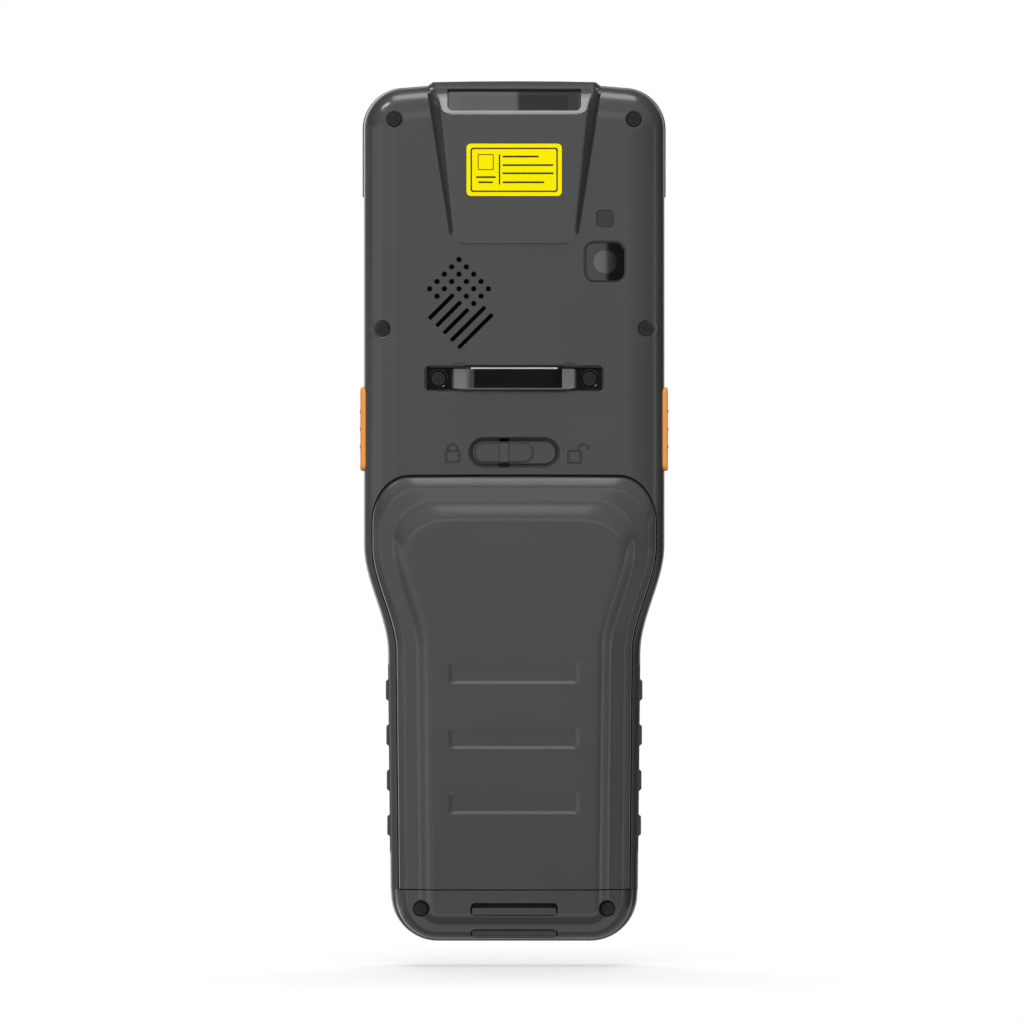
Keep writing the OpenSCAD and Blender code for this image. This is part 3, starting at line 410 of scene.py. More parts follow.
def grow(w, h, r, *place, **more):
    """The outline of rounded() as a function of how far it is grown."""
    return lambda g: rounded(w + 2 * g, h + 2 * g, r + g, *place, **more)


def disc(r, x=0.0, z=0.0, steps=32):
    """A round outline."""
    a = np.linspace(0, 2 * math.pi, steps, endpoint=False)
    return np.c_[x + r * np.cos(a), z + r * np.sin(a)]


RIM = [(math.radians(a), 1) for a in (0, 27, 54, 80)]


def pocket(shape, floor, rim, surface, slope=0.0):
    """A cutter for a recess with a round rim: its outline grown by g, and the depth of the face."""
    wall = shape(0.0)
    face = np.array([surface(x, z) for x, z in wall])
    rings, depths = [shape(-slope), wall], [np.full(len(wall), floor), face - rim]
    for a, _ in RIM[1:]:
        grown = shape(rim * (1 - math.cos(a)))
        rings.append(grown)
        depths.append(np.array([surface(x, z) for x, z in grown]) - rim * (1 - math.sin(a)))
    rings.append(rings[-1])
    depths.append(np.full(len(wall), float(np.max(depths[-1])) + 2))
    return loft(rings, depths)


def flat(depth):
    """A surface of one depth."""
    return lambda x, z: depth


def surface_of(work):
    """Depth of a solid's back face under any x and z."""
    mesh = work.data
    tree = BVHTree.FromPolygons([v.co for v in mesh.vertices], [tuple(p.vertices) for p in mesh.polygons])

    def depth(x, z):
        hit = tree.ray_cast(Vector((x, 200, z)), Vector((0, -1, 0)))[0]
        return (hit.y if hit else BODY_T - MID) + MID
    return depth


# ---- Geometry Nodes for what repeats ----

def new_tree(name, inputs):
    """A geometry node tree with a geometry in and out and the named inputs."""
    tree = bpy.data.node_groups.new(name, "GeometryNodeTree")
    tree.interface.new_socket("Geometry", in_out="INPUT", socket_type="NodeSocketGeometry")
    for label, kind in inputs:
        tree.interface.new_socket(label, in_out="INPUT", socket_type=kind)
    tree.interface.new_socket("Geometry", in_out="OUTPUT", socket_type="NodeSocketGeometry")
    return tree, tree.nodes.new("NodeGroupInput"), tree.nodes.new("NodeGroupOutput")


def copies_tree():
    """Puts a copy of a part on every point, turned by the point's own turn about the depth direction."""
    name = "Copies on points"
    if name in bpy.data.node_groups:
        return bpy.data.node_groups[name]
    tree, start, end = new_tree(name, [("Part", "NodeSocketObject"), ("Size", "NodeSocketFloat"),
                                       ("Material", "NodeSocketMaterial")])
    node, link = tree.nodes.new, tree.links.new
    part = node("GeometryNodeObjectInfo")
    part.transform_space = "ORIGINAL"
    turn = node("GeometryNodeInputNamedAttribute")
    turn.data_type = "FLOAT_VECTOR"
    turn.inputs["Name"].default_value = "turn"
    rotation = node("FunctionNodeEulerToRotation")
    place = node("GeometryNodeInstanceOnPoints")
    realize = node("GeometryNodeRealizeInstances")
    paint = node("GeometryNodeSetMaterial")
    link(start.outputs["Part"], part.inputs["Object"])
    link(start.outputs["Geometry"], place.inputs["Points"])
    link(part.outputs["Geometry"], place.inputs["Instance"])
    link(turn.outputs["Attribute"], rotation.inputs["Euler"])
    link(rotation.outputs["Rotation"], place.inputs["Rotation"])
    link(start.outputs["Size"], place.inputs["Scale"])
    link(place.outputs["Instances"], realize.inputs["Geometry"])
    link(realize.outputs["Geometry"], paint.inputs["Geometry"])
    link(start.outputs["Material"], paint.inputs["Material"])
    link(paint.outputs["Geometry"], end.inputs["Geometry"])
    return tree


def run_tree(host, tree, values):
    """Runs a tree on an object with its named inputs, and leaves the plain mesh."""
    step = host.modifiers.new(tree.name, "NODES")
    step.node_group = tree
    for item in tree.interface.items_tree:
        if item.in_out == "INPUT" and item.name in values:
            step[item.identifier] = values[item.name]
    host.update_tag()
    baked(host)
    return host


def copies(part, spots, turns=None, size=1.0, material=None):
    """Copies of a work solid made around the origin, at spots given as x, depth and z."""
    mesh = bpy.data.meshes.new("work")
    mesh.from_pydata([(x, d - MID, z) for x, d, z in spots], [], [])
    turn = mesh.attributes.new("turn", "FLOAT_VECTOR", "POINT")
    if turns is not None:
        for item, value in zip(turn.data, turns):
            item.vector = value
    host = added("work", mesh)
    run_tree(host, copies_tree(), {"Part": part, "Size": size, "Material": material})
    bpy.data.objects.remove(part)
    return host


# ---- Finishes ----

def grain_group():
    """Fine moulded grain and soft mottling, from object coordinates."""
    group = bpy.data.node_groups.new("Moulded grain", "ShaderNodeTree")
    for label, value in (("Grain per metre", 2600.0), ("Mottle per metre", 60.0)):
        socket = group.interface.new_socket(label, in_out="INPUT", socket_type="NodeSocketFloat")
        socket.default_value = value
    for label in ("Height", "Mottle", "Streak"):
        group.interface.new_socket(label, in_out="OUTPUT", socket_type="NodeSocketFloat")
    node, link = group.nodes.new, group.links.new
    start, end, place = node("NodeGroupInput"), node("NodeGroupOutput"), node("ShaderNodeTexCoord")
    pits, cloud, long, stretch = (node("ShaderNodeTexNoise"), node("ShaderNodeTexNoise"),
                                  node("ShaderNodeTexNoise"), node("ShaderNodeMapping"))
    stretch.inputs["Scale"].default_value = (900, 900, 60)
    cloud.inputs["Detail"].default_value = 4
    long.inputs["Scale"].default_value = 1
    for one in (pits, cloud):
        link(place.outputs["Object"], one.inputs["Vector"])
    link(place.outputs["Object"], stretch.inputs["Vector"])
    link(stretch.outputs["Vector"], long.inputs["Vector"])
    link(start.outputs["Grain per metre"], pits.inputs["Scale"])
    link(start.outputs["Mottle per metre"], cloud.inputs["Scale"])
    link(pits.outputs["Fac"], end.inputs["Height"])
    link(cloud.outputs["Fac"], end.inputs["Mottle"])
    link(long.outputs["Fac"], end.inputs["Streak"])
    return group


def paint(name, colour, rough, grain=0.0, mottle=0.06, metal=0.0, streak=0.0, per_metre=2600.0, **sockets):
    """A finish whose colour and roughness vary a little and whose grain is a bump in metres."""
    if "Moulded grain" not in bpy.data.node_groups:
        grain_group()
    material = bpy.data.materials.new(name)
    material.use_nodes = True
    tree = material.node_tree
    shader = tree.nodes["Principled BSDF"]
    node, link = tree.nodes.new, tree.links.new
    group = node("ShaderNodeGroup")
    group.node_tree = bpy.data.node_groups["Moulded grain"]
    group.inputs["Grain per metre"].default_value = per_metre
    tone = node("ShaderNodeMix")
    tone.data_type = "RGBA"
    tone.inputs["A"].default_value = (*[c * (1 - mottle) for c in colour], 1)
    tone.inputs["B"].default_value = (*[c * (1 + mottle) for c in colour], 1)
    link(group.outputs["Mottle"], tone.inputs["Factor"])
    link(tone.outputs["Result"], shader.inputs["Base Color"])
    gloss = node("ShaderNodeMapRange")
    gloss.inputs["To Min"].default_value = rough * (1 - mottle)
    gloss.inputs["To Max"].default_value = rough * (1 + mottle)
    link(group.outputs["Streak" if streak else "Mottle"], gloss.inputs["Value"])
    link(gloss.outputs["Result"], shader.inputs["Roughness"])
    shader.inputs["Metallic"].default_value = metal
    if grain or streak:
        bump = node("ShaderNodeBump")
        bump.inputs["Distance"].default_value = grain or streak
        link(group.outputs["Streak" if streak else "Height"], bump.inputs["Height"])
        link(bump.outputs["Normal"], shader.inputs["Normal"])
    for label, value in sockets.items():
        shader.inputs[label.replace("_", " ")].default_value = value
    return material


def grey(value):
    """A colour without a hue."""
    return (value, value, value)


MATERIALS = {}


def make_materials(colours):
    """Every finish of the terminal."""
    dark, black = tuple(colours.housing), tuple(colours.black)
    MATERIALS.update({
        "housing": paint("Housing plastic", dark, 0.22, grain=0.000006),
        "cover": paint("Battery cover plastic", dark, 0.22, grain=0.000006),
        "black": paint("Black plastic", black, 0.45, grain=0.00002),
        "gauze": paint("Speaker gauze", grey(0.003), 0.9, Specular_IOR_Level=0.0),
        "gloss": paint("Gloss black plastic", grey(0.003), 0.15, Specular_IOR_Level=1.0, Coat_Weight=1.0,
                       Coat_Roughness=0.1),
        "rubber": paint("Grip rubber", tuple(colours.rubber), 0.6, grain=0.00003, Sheen_Weight=0.1),
        "bumper": paint("Bumper rubber", grey(0.02), 0.85, Specular_IOR_Level=0.0),
        "seal": paint("Seal rubber", grey(0.02), 0.6),
        "trigger": paint("Trigger plastic", tuple(colours.orange), 0.4, grain=0.00001),
        "scan_key": paint("Scan key rubber", tuple(colours.orange), 0.5, grain=0.00001),
        "key": paint("Grey key rubber", tuple(colours.keys), 0.5, grain=0.00001),
        "key_dark": paint("Black key rubber", grey(0.022), 0.5, grain=0.00001),
        "legend": paint("Key legend ink", grey(0.75), 0.5, mottle=0.02),
        "legend_dark": paint("Dark legend ink", grey(0.03), 0.5, mottle=0.02),
        "glass": paint("Window glass over black print", grey(0.006), 0.015, mottle=0.02),
        "print": paint("Grey print under glass", grey(0.018), 0.015, mottle=0.02),
        "panel": paint("Display panel under glass", (0.012, 0.014, 0.018), 0.05, mottle=0.02),
        "lens": paint("Camera lens glass", (0.012, 0.012, 0.014), 0.015, mottle=0.02, Coat_Weight=1.0),
        "flash": paint("Frosted flash lens", grey(0.045), 0.35, mottle=0.03),
        "metal": paint("Brushed frame metal", grey(0.42), 0.35, metal=1.0, streak=0.00002),
        "spring": paint("Spring steel", grey(0.55), 0.25, metal=1.0, streak=0.00001),
        "steel": paint("Black oxide steel", grey(0.013), 0.4, mottle=0.15),
        "brass": paint("Brass", (0.62, 0.42, 0.16), 0.3, metal=1.0, mottle=0.1),
        "gold": paint("Gold contact", (0.85, 0.58, 0.2), 0.2, metal=1.0, mottle=0.05),
        "board": paint("Circuit board lacquer", (0.012, 0.1, 0.045), 0.35, mottle=0.2),
        "pack": paint("Battery case", grey(0.03), 0.5, grain=0.00002),
        "label": paint("Label sheet", tuple(colours.label), 0.6, mottle=0.01, Specular_IOR_Level=0.1),
        "ink": paint("Label ink", grey(0.02), 0.6),
    })


# ---- Forms of the housings ----

def back_form(e):
    """The rear body, taken in by e."""
    turn = np.radians(np.linspace(0, 90, 15))
    inset = list(TURN_IN * (1 - np.cos(turn) ** (2 / TURN_POWER)) + e)
    depth = list(BODY_T - TURN_DOWN * (1 - np.sin(turn) ** (2 / TURN_POWER)) - e)
    first = [(0.25, FRONT_T), (0.0, FRONT_T + 0.25)] if e == 0 else [(e, FRONT_T - 1)]
    spots = first + list(zip(inset, depth))
    return stacked(body_ring, spots)


def front_form(e):
    """The front body, taken in by e."""
    turn = np.radians(np.linspace(90, 0, 9))
    spots = [(2.2 * (1 - math.cos(a)) + e, 2.2 * (1 - math.sin(a))) for a in turn]
    last = [(0.0, FRONT_T - 0.25), (0.25, FRONT_T)] if e == 0 else [(e, FRONT_T + 1)]
    if e:
        spots = [(i, max(d, FACE_T + 0.1 * k)) for k, (i, d) in enumerate(spots)]
    spots += last
    return stacked(body_ring, spots)


def cover_form(e, root, slope=COVER_SLOPE):
    """The slope and plateau of the battery cover, taken in by e, down to a depth below the back."""
    spots = [(slope[0][0] + e, BODY_T - root)] + [(i + e, BODY_T + d - e) for i, d in slope]
    return stacked(cover_ring, spots)


def smooth_min(a, b, soft):
    """The lower of two heights, with the crease between them rounded."""
    h = np.clip(soft - np.abs(a - b), 0, None) / soft
    return np.minimum(a, b) - h * h * soft / 4


def shoulder_depth(z):
    """Depth of the rear body near the hood's sides, where it turns over towards the top edge."""
    share = np.clip((z - (BODY_TOP - TOP_CROWN - TURN_IN)) / TURN_IN, 0, 1)
    return BODY_T - TURN_DOWN * (1 - (1 - share ** TURN_POWER) ** (1 / TURN_POWER))


def hood_root(z):
    """Half width of the hood at the foot of its side walls."""
    return HOOD_HALF + (z - HOOD_Z) * HOOD_SPREAD


def roof_depth(z):
    """Depth of the hood's flat back."""
    return ROOF_DEPTH + (z - ROOF_Z) * ROOF_RISE


def moat_depth(z):
    """Depth of the shallow channel along the foot of the hood's side walls."""
    return MOAT_DEEP * np.clip((z - MOAT_LOW) / 0.8, 0, 1) * np.clip((MOAT_HIGH - z) / 1.5, 0, 1)


def moat_cutter(s):
    """A cutter for the channel along one side wall of the hood."""
    points, faces = [], []
    rows = np.linspace(164.4, 197.1, 52)
    for z in rows:
        root, face = float(hood_root(z)), float(shoulder_depth(z))
        floor = face - MOAT_DEEP
        points += [(s * x, d - MID, z) for x, d in ((root - 1.2, floor), (root + 0.04, floor),
                                                    (root + 0.2, face + 0.03), (root + 0.2, face + 6),
                                                    (root - 1.2, face + 6))]
    for j in range(len(rows) - 1):
        for k in range(5):
            a, b = j * 5 + k, j * 5 + (k + 1) % 5
            faces.append([a, b, b + 5, a + 5])
    faces += [list(range(5)), [len(points) - 5 + k for k in range(5)]]
    return solid(points, faces)


def hood_form():
    """The scanner hood: a wedge that rises to its brow, and a scooped frame around the scan window."""
    rows = np.r_[np.linspace(161.5, 163.6, 22), np.linspace(163.8, 167, 14), np.linspace(167.6, 190.4, 24),
                 np.linspace(190.7, 199.9, 64)]
    root = hood_root(rows)
    half = root + 0.7
    share = np.r_[np.linspace(0, 0.7, 10), np.linspace(0.73, 1, 40)]
    share = np.r_[-share[:0:-1], share]
    z, x = rows[:, None] + 0 * share, np.abs(half[:, None] * share)
    root = root[:, None] + 0 * share
    edge = np.where(z < 193.2, 14.3 + (z - HOOD_Z) * 0.102, 16.95 + (z - 193.2) * 0.29)
    roof = roof_depth(z)
    bound = np.where(z < 193.4, 14.7 + 2.3 * np.sqrt(np.clip(1 - ((193.4 - z) / 1.4) ** 2, 0, 1)),
                     17.0 + (z - 193.4) * 0.29)
    outside = np.clip((x - bound) / 0.18 + 0.5, 0, 1)
    fade = np.clip((z - 195.4) / 3.2, 0, 1)
    cheek = 1.86 * (1 - fade * fade * (3 - 2 * fade)) * outside
    knots = [(185, 35), (191.6, 27.45), (192.0, 26.98), (192.4, 26.45), (196, 22.35), (196.5, 21.86),
             (197.0, 21.46), (197.5, 21.16), (198.1, 20.9), (198.8, 20.77), (200, 20.7)]
    frame_d = np.interp(z, *np.array(knots).T)
    crest = smooth_min(roof, frame_d + cheek, 0.12)
    edge = edge + np.where(z > 192, 0.12, 0)
    slope = (crest - shoulder_depth(z) + moat_depth(z)) / (root - edge)
    beyond, soft = x - edge, 0.12
    flank = crest - slope * (beyond + np.sqrt(beyond ** 2 + soft ** 2)) / 2
    out = np.clip(x - root + HOOD_CORNER, 0, None)
    down = np.clip(HOOD_FOOT + HOOD_CORNER - z, 0, None)
    inside = HOOD_CORNER - np.hypot(out, down)
    reach = 0.3 + 2.2 * np.sin(2 * np.arctan2(out, down + 1e-6)) ** 2
    rise = 1 - (1 - np.clip(inside / reach, 0, 1)) ** 1.7
    foot = BODY_T + (roof + 0.25 - BODY_T) * rise + np.clip(inside, -1, 0) * 2.5 - 0.02
    foot = np.where(down > 0, foot, 40)
    top = smooth_min(flank, foot, 0.1)
    x = half[:, None] * share
    count = len(share)
    points = [(x[j, k], top[j, k] - MID, rows[j]) for j in range(len(rows)) for k in range(count)]
    points += [(x[j, k], 14.5 - MID, rows[j]) for j in range(len(rows)) for k in range(count)]
    base, faces = len(rows) * count, []
    for j in range(len(rows) - 1):
        for k in range(count - 1):
            a = j * count + k
            faces.append([a, a + 1, a + count + 1, a + count])
    left, right = [j * count for j in range(len(rows))], [j * count + count - 1 for j in range(len(rows))]
    rim = list(range(count)) + right[1:] + list(range(base - 2, base - count - 1, -1)) + left[-2:0:-1]
    faces += [[a, b, b + base, a + base] for a, b in zip(rim, rim[1:] + rim[:1])]
    faces.append([a + base for a in rim])
    form = solid(points, faces)
    outline = [(-22, 160), (22, 160), (22, 196), (20.3, 197.9), (20.15, 198.9), (18.9, 199.68),
               (10, 199.85), (0, 199.9), (-10, 199.85), (-18.9, 199.68), (-20.15, 198.9),
               (-20.3, 197.9), (-22, 196)]
    return combine(form, [slab(np.array(outline), 10, 32)], "INTERSECT")


def in_window(work):
    """Puts a solid built around the origin into the tilted frame of the scan window."""
    turn = Matrix.Rotation(-SCAN_ANGLE, 4, "X")
    return placed(work, Matrix.Translation((0, SCAN_MID[1] - MID, SCAN_MID[2])) @ turn)


def block(w, l, t, x=0.0, y=0.0, z=0.0):
    """A plain cutter around a place near the origin."""
    a, b, c = w / 2, l / 2, t / 2
    return box((x - a, y - b + MID, z - c), (x + a, y + b + MID, z + c))


def post(x, z, r, low, high, steps=32):
    """A round post along the depth."""
    return slab(disc(r, x, z, steps), low, high)


def groove(outline, depth, keep=None):
    """A cutter for a V-shaped groove along the outline. outline(g) is its middle line grown by g."""
    half, deep = 0.3, 0.32
    outer = loft([outline(0.03), outline(half), outline(half)], [depth - deep, depth, depth + 1])
    inner = loft([outline(-0.03)] * 2 + [outline(-half)] * 2, [depth - 2, depth - deep, depth, depth + 2])
    combine(outer, [inner])
    return combine(outer, [keep], "INTERSECT") if keep else outer


def padlock(x, z, w, h, bow_x, surface):
    """Cutters for the engraved outline of a padlock, its bow over bow_x."""
    depth = min(surface(x, z), surface(x + math.copysign(w / 2, x), z))
    frame = groove(grow(w - 0.5, h - 0.5, 0.35), depth)
    frame.data.transform(Matrix.Translation((x, 0, z)))
    foot = z + h / 2 + 0.03
    turn = np.linspace(0, 2 * math.pi, 40, endpoint=False)
    arch = np.c_[np.cos(turn), np.sin(turn)]
    bow = groove(lambda g: arch * (1.17 + g, 1.3 + g) + (bow_x, foot), depth,
                 box((x - 9, depth - 1, foot + 0.02), (x + 9, depth + 2, foot + 9)))
    return [frame, bow]


def sound_cutters(depth):
    """The speaker's round holes and slanted slots, each row copied from one cutter."""
    z0 = SPEAKER_Z + 6 * SOUND_PITCH
    spots = [(SPEAKER_X - (i - j) * SOUND_PITCH, depth, z0 - (i + j) * SOUND_PITCH)
             for i in range(5) for j in range(5) if i < 2 or (j < 3 and not (i >= 2 and j >= 3))]
    hole = loft([disc(SOUND_HOLE_R, steps=20)] * 2 + [disc(SOUND_HOLE_R + 0.12, steps=20)] * 2,
                [MID - 3, MID - 0.12, MID, MID + 1])
    cutters = [copies(hole, spots)]
    for i in range(2, 7):
        j0, j1 = (2.9 if i < 5 else 1.6), 5.93
        mid, length = (j0 + j1) / 2, (j1 - j0) * SOUND_PITCH * math.sqrt(2)
        x, z = SPEAKER_X - (i - mid) * SOUND_PITCH, z0 - (i + mid) * SOUND_PITCH
        slot = grow(length + SOUND_SLOT_W - 0.2, SOUND_SLOT_W, 0.22, x, z, -45)
        cutters.append(pocket(slot, depth - 3, 0.1, flat(depth)))
    return cutters


def rear_housing(rim):
    """The rear housing with its hood, bay, recesses and channels, their rims rounded by rim."""
    body = combine(combine(back_form(0), [moat_cutter(s) for s in (-1, 1)]), [hood_form()], "UNION")
    foot = combine(cover_form(0, 8, FOOT_SLOPE), [above(BAY_FOOT)])
    outer = combine(body, [foot], "UNION")
    surface = surface_of(outer)
    inner_foot = combine(cover_form(WALL, 9), [above(BAY_FOOT - BAY_WALL)])
    nose = hull([(s * x, d, z) for s in (-1, 1) for x, d, z in
                 [(12.9, 21, 164), (12.9, 14.5, 164), (12.2, 21.1, 165.2), (15, 25, 190.1),
                  (18.2, 19.5, 193.7), (18.2, 16.9, 196.8), (18.2, 14.5, 196.8), (16.8, 17.8, 197.7),
                  (16.8, 14.5, 197.7)]])
    combine(outer, [back_form(WALL), inner_foot, nose])
    tray = slab(cover_ring(-BAY_WALL - COVER_GAP, COVER_MARGIN), BAY_FLOOR - BAY_WALL, BODY_T - WALL + 0.2)
    combine(tray, [above(BAY_FOOT - BAY_WALL), back_form(0.02)], "INTERSECT")
    channel = combine(box((-11.6, 15.7, 0.02), (11.6, HUMP_DEPTH - 0.02, 10.6)), [cover_form(0.02, 12)],
                      "INTERSECT")
    solids = [tray, channel]
    solids += [post(s * x, z, BOSS_R, FRONT_T + 0.02, d - 0.02) for s in (-1, 1) for x, z, d in SCREWS]
    solids += [box((-21.7, 18.7, BRACKET_Z - 4), (21.7, 20.6, BRACKET_Z + 4)),
               box((-11.2, 19.5, 108.4), (11.2, 20.6, LOCK_Z + 4.3)),
               box((CAMERA_X - 5.4, 19.5, CAMERA_Z - 5.4), (CAMERA_X + 5.4, 20.6, CAMERA_Z + 5.4))]
    solids += [post(s * BRACKET_SCREW_X, BRACKET_Z, 2.6, 15, 19) for s in (-1, 1)]
    combine(outer, solids, "UNION")

    bay = pocket(lambda g: cover_ring(-COVER_GAP - g), BAY_FLOOR, rim, surface)
    combine(bay, [above(BAY_FOOT, 60)], "INTERSECT")
    cuts = [bay]
    for s in (-1, 1):
        for x, z, d in SCREWS:
            cuts.append(pocket(lambda g, x=x, z=z: disc(RECESS_R + g, s * x, z), d, RECESS_RIM, surface))
            cuts.append(post(s * x, z, SCREW_R + 0.15, 8, d + 1))
        cuts.append(post(s * BRACKET_SCREW_X, BRACKET_Z, SCREW_R + 0.05, 15.5, 22))
        cuts.append(pocket(grow(3, 7.2, 0.9, s * 12.9, BRACKET_Z), BODY_T - 0.7, 0.15, surface))
    cuts.append(pocket(grow(41.5, 6, 1.3, 0, BRACKET_Z), BRACKET_FLOOR, rim, surface))

    def track(w):
        h = w - LOCK_TRACK_MORE
        return rounded(w, h, h / 2 - 0.01, 0, LOCK_Z, steps=16)
    # the slider's track: a trench with the raised island that the slider runs on
    trench = loft([track(w) for w in (19.8, 21.1, 21.4, 21.4)], [20.93, 22.35, BODY_T, 25])
    island = loft([track(w) for w in (19.8, 19.8, 19.1)], [19, 20.93, 21.72])
    cuts.append(combine(trench, [island]))
    cuts += [box((LOCK_X - 1.15, 17, LOCK_Z + z - 0.4), (LOCK_X + 1.15, 22, LOCK_Z + z + 0.4))
             for z in (-3.0, 3.0)]
    # the path of its stem, the room for its tongue, the connector's hole and the sockets of the lugs
    cuts.append(box((-3.85, 9.5, LOCK_Z - 1.15), (4.05, 21.8, LOCK_Z + 1.15)))
    cuts.append(box((-4.9, 14.6, 107.2), (4.9, 16.2, LOCK_Z + 4)))
    cuts.append(box((-15.2, 9.9, 94.8), (-4.8, 13.4, 99.2)))
    cuts += [box((s * 14.5 - 2.8, 19, 9.8), (s * 14.5 + 2.8, 21.1, 12.3)) for s in (-1, 1)]
    # the camera, the flash and the scan window
    cuts.append(pocket(grow(9.7, 9.7, 2.45, CAMERA_X, CAMERA_Z), BODY_T - 1.3, RECESS_RIM, surface))
    cuts.append(post(CAMERA_X, CAMERA_Z, 3.15, 18.5, 22))
    cuts.append(pocket(grow(3.9, 3.9, 0.95, CAMERA_X, FLASH_Z), 18.5, 0.1, surface))
    u_shape = rounded(31, 10, 1.3, 0, 197.9)
    cuts.append(combine(slab(u_shape, 17, 32), [box((-20, 10, 198.15), (20, 40, 205))]))
    cuts.append(in_window(block(31, 7.4, 3, 0, 0, -0.95 - 1.5)))
    cuts.append(in_window(block(29, 6.6, 4, 0, 0, -4)))
    # the channel behind the strap bar and its two slots
    cuts.append(box((-10.1, STRAP_FLOOR, 0.9), (10.1, 19.7, 9.1)))
    for low, high, ledge, down in ((6.2, 9.1, 8.0, 0.5), (0.9, 2.9, 2.7, 0.35)):
        mid, h = (low + high) / 2, high - low
        slot_cut = pocket(grow(20.2, h, min(1.0, h / 2 - 0.01), 0, mid), STRAP_FLOOR, 0.15, surface)
        top = surface(0, mid) - down
        combine(slot_cut, [box((-9.75, 10, low + 0.18), (9.75, top, ledge))])
        cuts.append(slot_cut)
    cuts += padlock(14.27, 112.6, 3.6, 3.1, 14.27, surface)
    cuts += padlock(-14.07, 112.5, 3.4, 3.3, -16.1, surface)
    cuts += sound_cutters(BODY_T)
    for s in (-1, 1):
        cuts += side_cutters(s)
    return combine(outer, cuts)


def side_cutters(s):
    """Cutters for one side: the trigger's hole with its lip's pocket, and the recess of the grip pad."""
    def at_trigger(w, h, r, low, high, x=HEAD_HALF):
        return sideways(plate(grow(w, h, r), low, high), s * x, TRIGGER_MID, TRIGGER_Z)
    hole = at_trigger(TRIGGER_W + 0.3, TRIGGER_L + 0.3, 1.7, -6, 3)
    lip = at_trigger(8.7, 21.4, 1.7, -1.3, 1.3, 33)
    chamfer = at_trigger(TRIGGER_W + 0.7, TRIGGER_L + 0.7, 1.9, -0.12, 3)
    return [hole, lip, chamfer, grip_band(s, 0.7, -3, 0.0)]


def grip_band(s, inner, outer, less):
    """A band of the body's side between two insets, within the round-cornered outline of a grip pad."""
    band = combine(slab(body_ring(outer), 10, 18), [slab(body_ring(inner), 9, 19)])
    mid_z, h = (PAD_LOW + PAD_HIGH) / 2, PAD_HIGH - PAD_LOW - 2 * less
    mid_d, w = (PAD_FRONT + PAD_BACK) / 2, PAD_BACK - PAD_FRONT - 2 * less
    field = sideways(plate(grow(w, h, 1.6), -8, 8), s * 30, mid_d, mid_z)
    return combine(band, [field], "INTERSECT")


def front_housing():
    """The front housing with its window recess, key holes, slot, screw bosses and port block."""
    outer = combine(front_form(0), [front_form(WALL)])
    posts = [post(s * x, z, BOSS_R, FACE_T - 0.3, FRONT_T) for s in (-1, 1) for x, z, d in SCREWS]
    posts.append(box((-14.6, FACE_T - 0.3, 0.5), (14.6, FRONT_T, 3.5)))
    combine(outer, posts, "UNION")
    cuts = [front_pocket(grow(61.3, 101.9, 4, 0, WINDOW_MID_Z, steps=10), 1.4),
            slab(rounded(55.6, 94.6, 1, 0, WINDOW_MID_Z), 0, 4),
            front_pocket(grow(10, 1.2, 0.59, 0, EARPIECE_Z), 4),
            front_pocket(lambda g: disc(1.05 + g, 22, EARPIECE_Z), 4)]
    cuts += [front_pocket(grow(13.4, 7.2, 1.8, *key_spot(i)), 4) for i in range(len(KEYS))]
    frame_w, frame_h = 52.0, 76.6
    line = slab(rounded(frame_w, frame_h, 4, 0, KEYPAD_Z, steps=10), -1, 0.22)
    combine(line, [slab(rounded(frame_w - 0.7, frame_h - 0.7, 3.65, 0, KEYPAD_Z, steps=10), -2, 1)])
    cuts.append(line)
    cuts += [post(s * x, z, 1.6, 5, 10) for s in (-1, 1) for x, z, d in SCREWS]
    band = combine(slab(body_ring(-3), BUMPER_FRONT, BUMPER_BACK), [slab(body_ring(BUMPER_T), 2, 10)])
    cuts.append(combine(band, [above(BUMPER_FOOT, 20, 210)], "INTERSECT"))
    cuts.append(box((-13.5, 2.6, -1), (13.5, 8.2, 1.35)))
    cuts.append(box((-4.6, 3.65, 0), (4.6, 7.15, 4.5)))
    return combine(outer, cuts)


def front_pocket(shape, floor, rim=0.18):
    """A cutter from the front face down to a depth, with a round rim."""
    rings, depths = [shape(0), shape(0)], [floor, rim]
    for a, _ in RIM[1:]:
        rings.append(shape(rim * (1 - math.cos(a))))
        depths.append(rim * (1 - math.sin(a)))
    rings.append(rings[-1])
    depths.append(-2)
    return loft(rings, depths)


def key_spot(i):
    """Middle of a key, in the order of KEYS."""
    return (i % 3 - 1) * KEY_PITCH_X, KEY_FIRST_Z + (7 - i // 3) * KEY_PITCH_Z


# ---- Settings that a user would change ----

class TERMINAL_PG_sizes(bpy.types.PropertyGroup):
    """Small sizes that shape the look and leave the frame as it is."""
    rim: FloatProperty(name="Recess rim", description="Radius of the rim round the recesses of the back",
                       default=0.0003, min=0.00005, max=0.0004, unit="LENGTH")
    dish: FloatProperty(name="Key dish", description="How far the middle of a key lies below its rim",
                        default=0.00012, min=0.0, max=0.0002, unit="LENGTH")
    teeth: IntProperty(name="Bumper ribs", description="Number of fine ribs along the bumper",
                       default=236, min=40, max=260)
    legend: FloatProperty(name="Legend height", description="Height of a number on a key",
                          default=0.0034, min=0.002, max=0.005, unit="LENGTH")


def colour(name, description, default):
    """A setting for one colour."""
    return FloatVectorProperty(name=name, description=description, subtype="COLOR", size=3, min=0, max=1,
                               default=default)


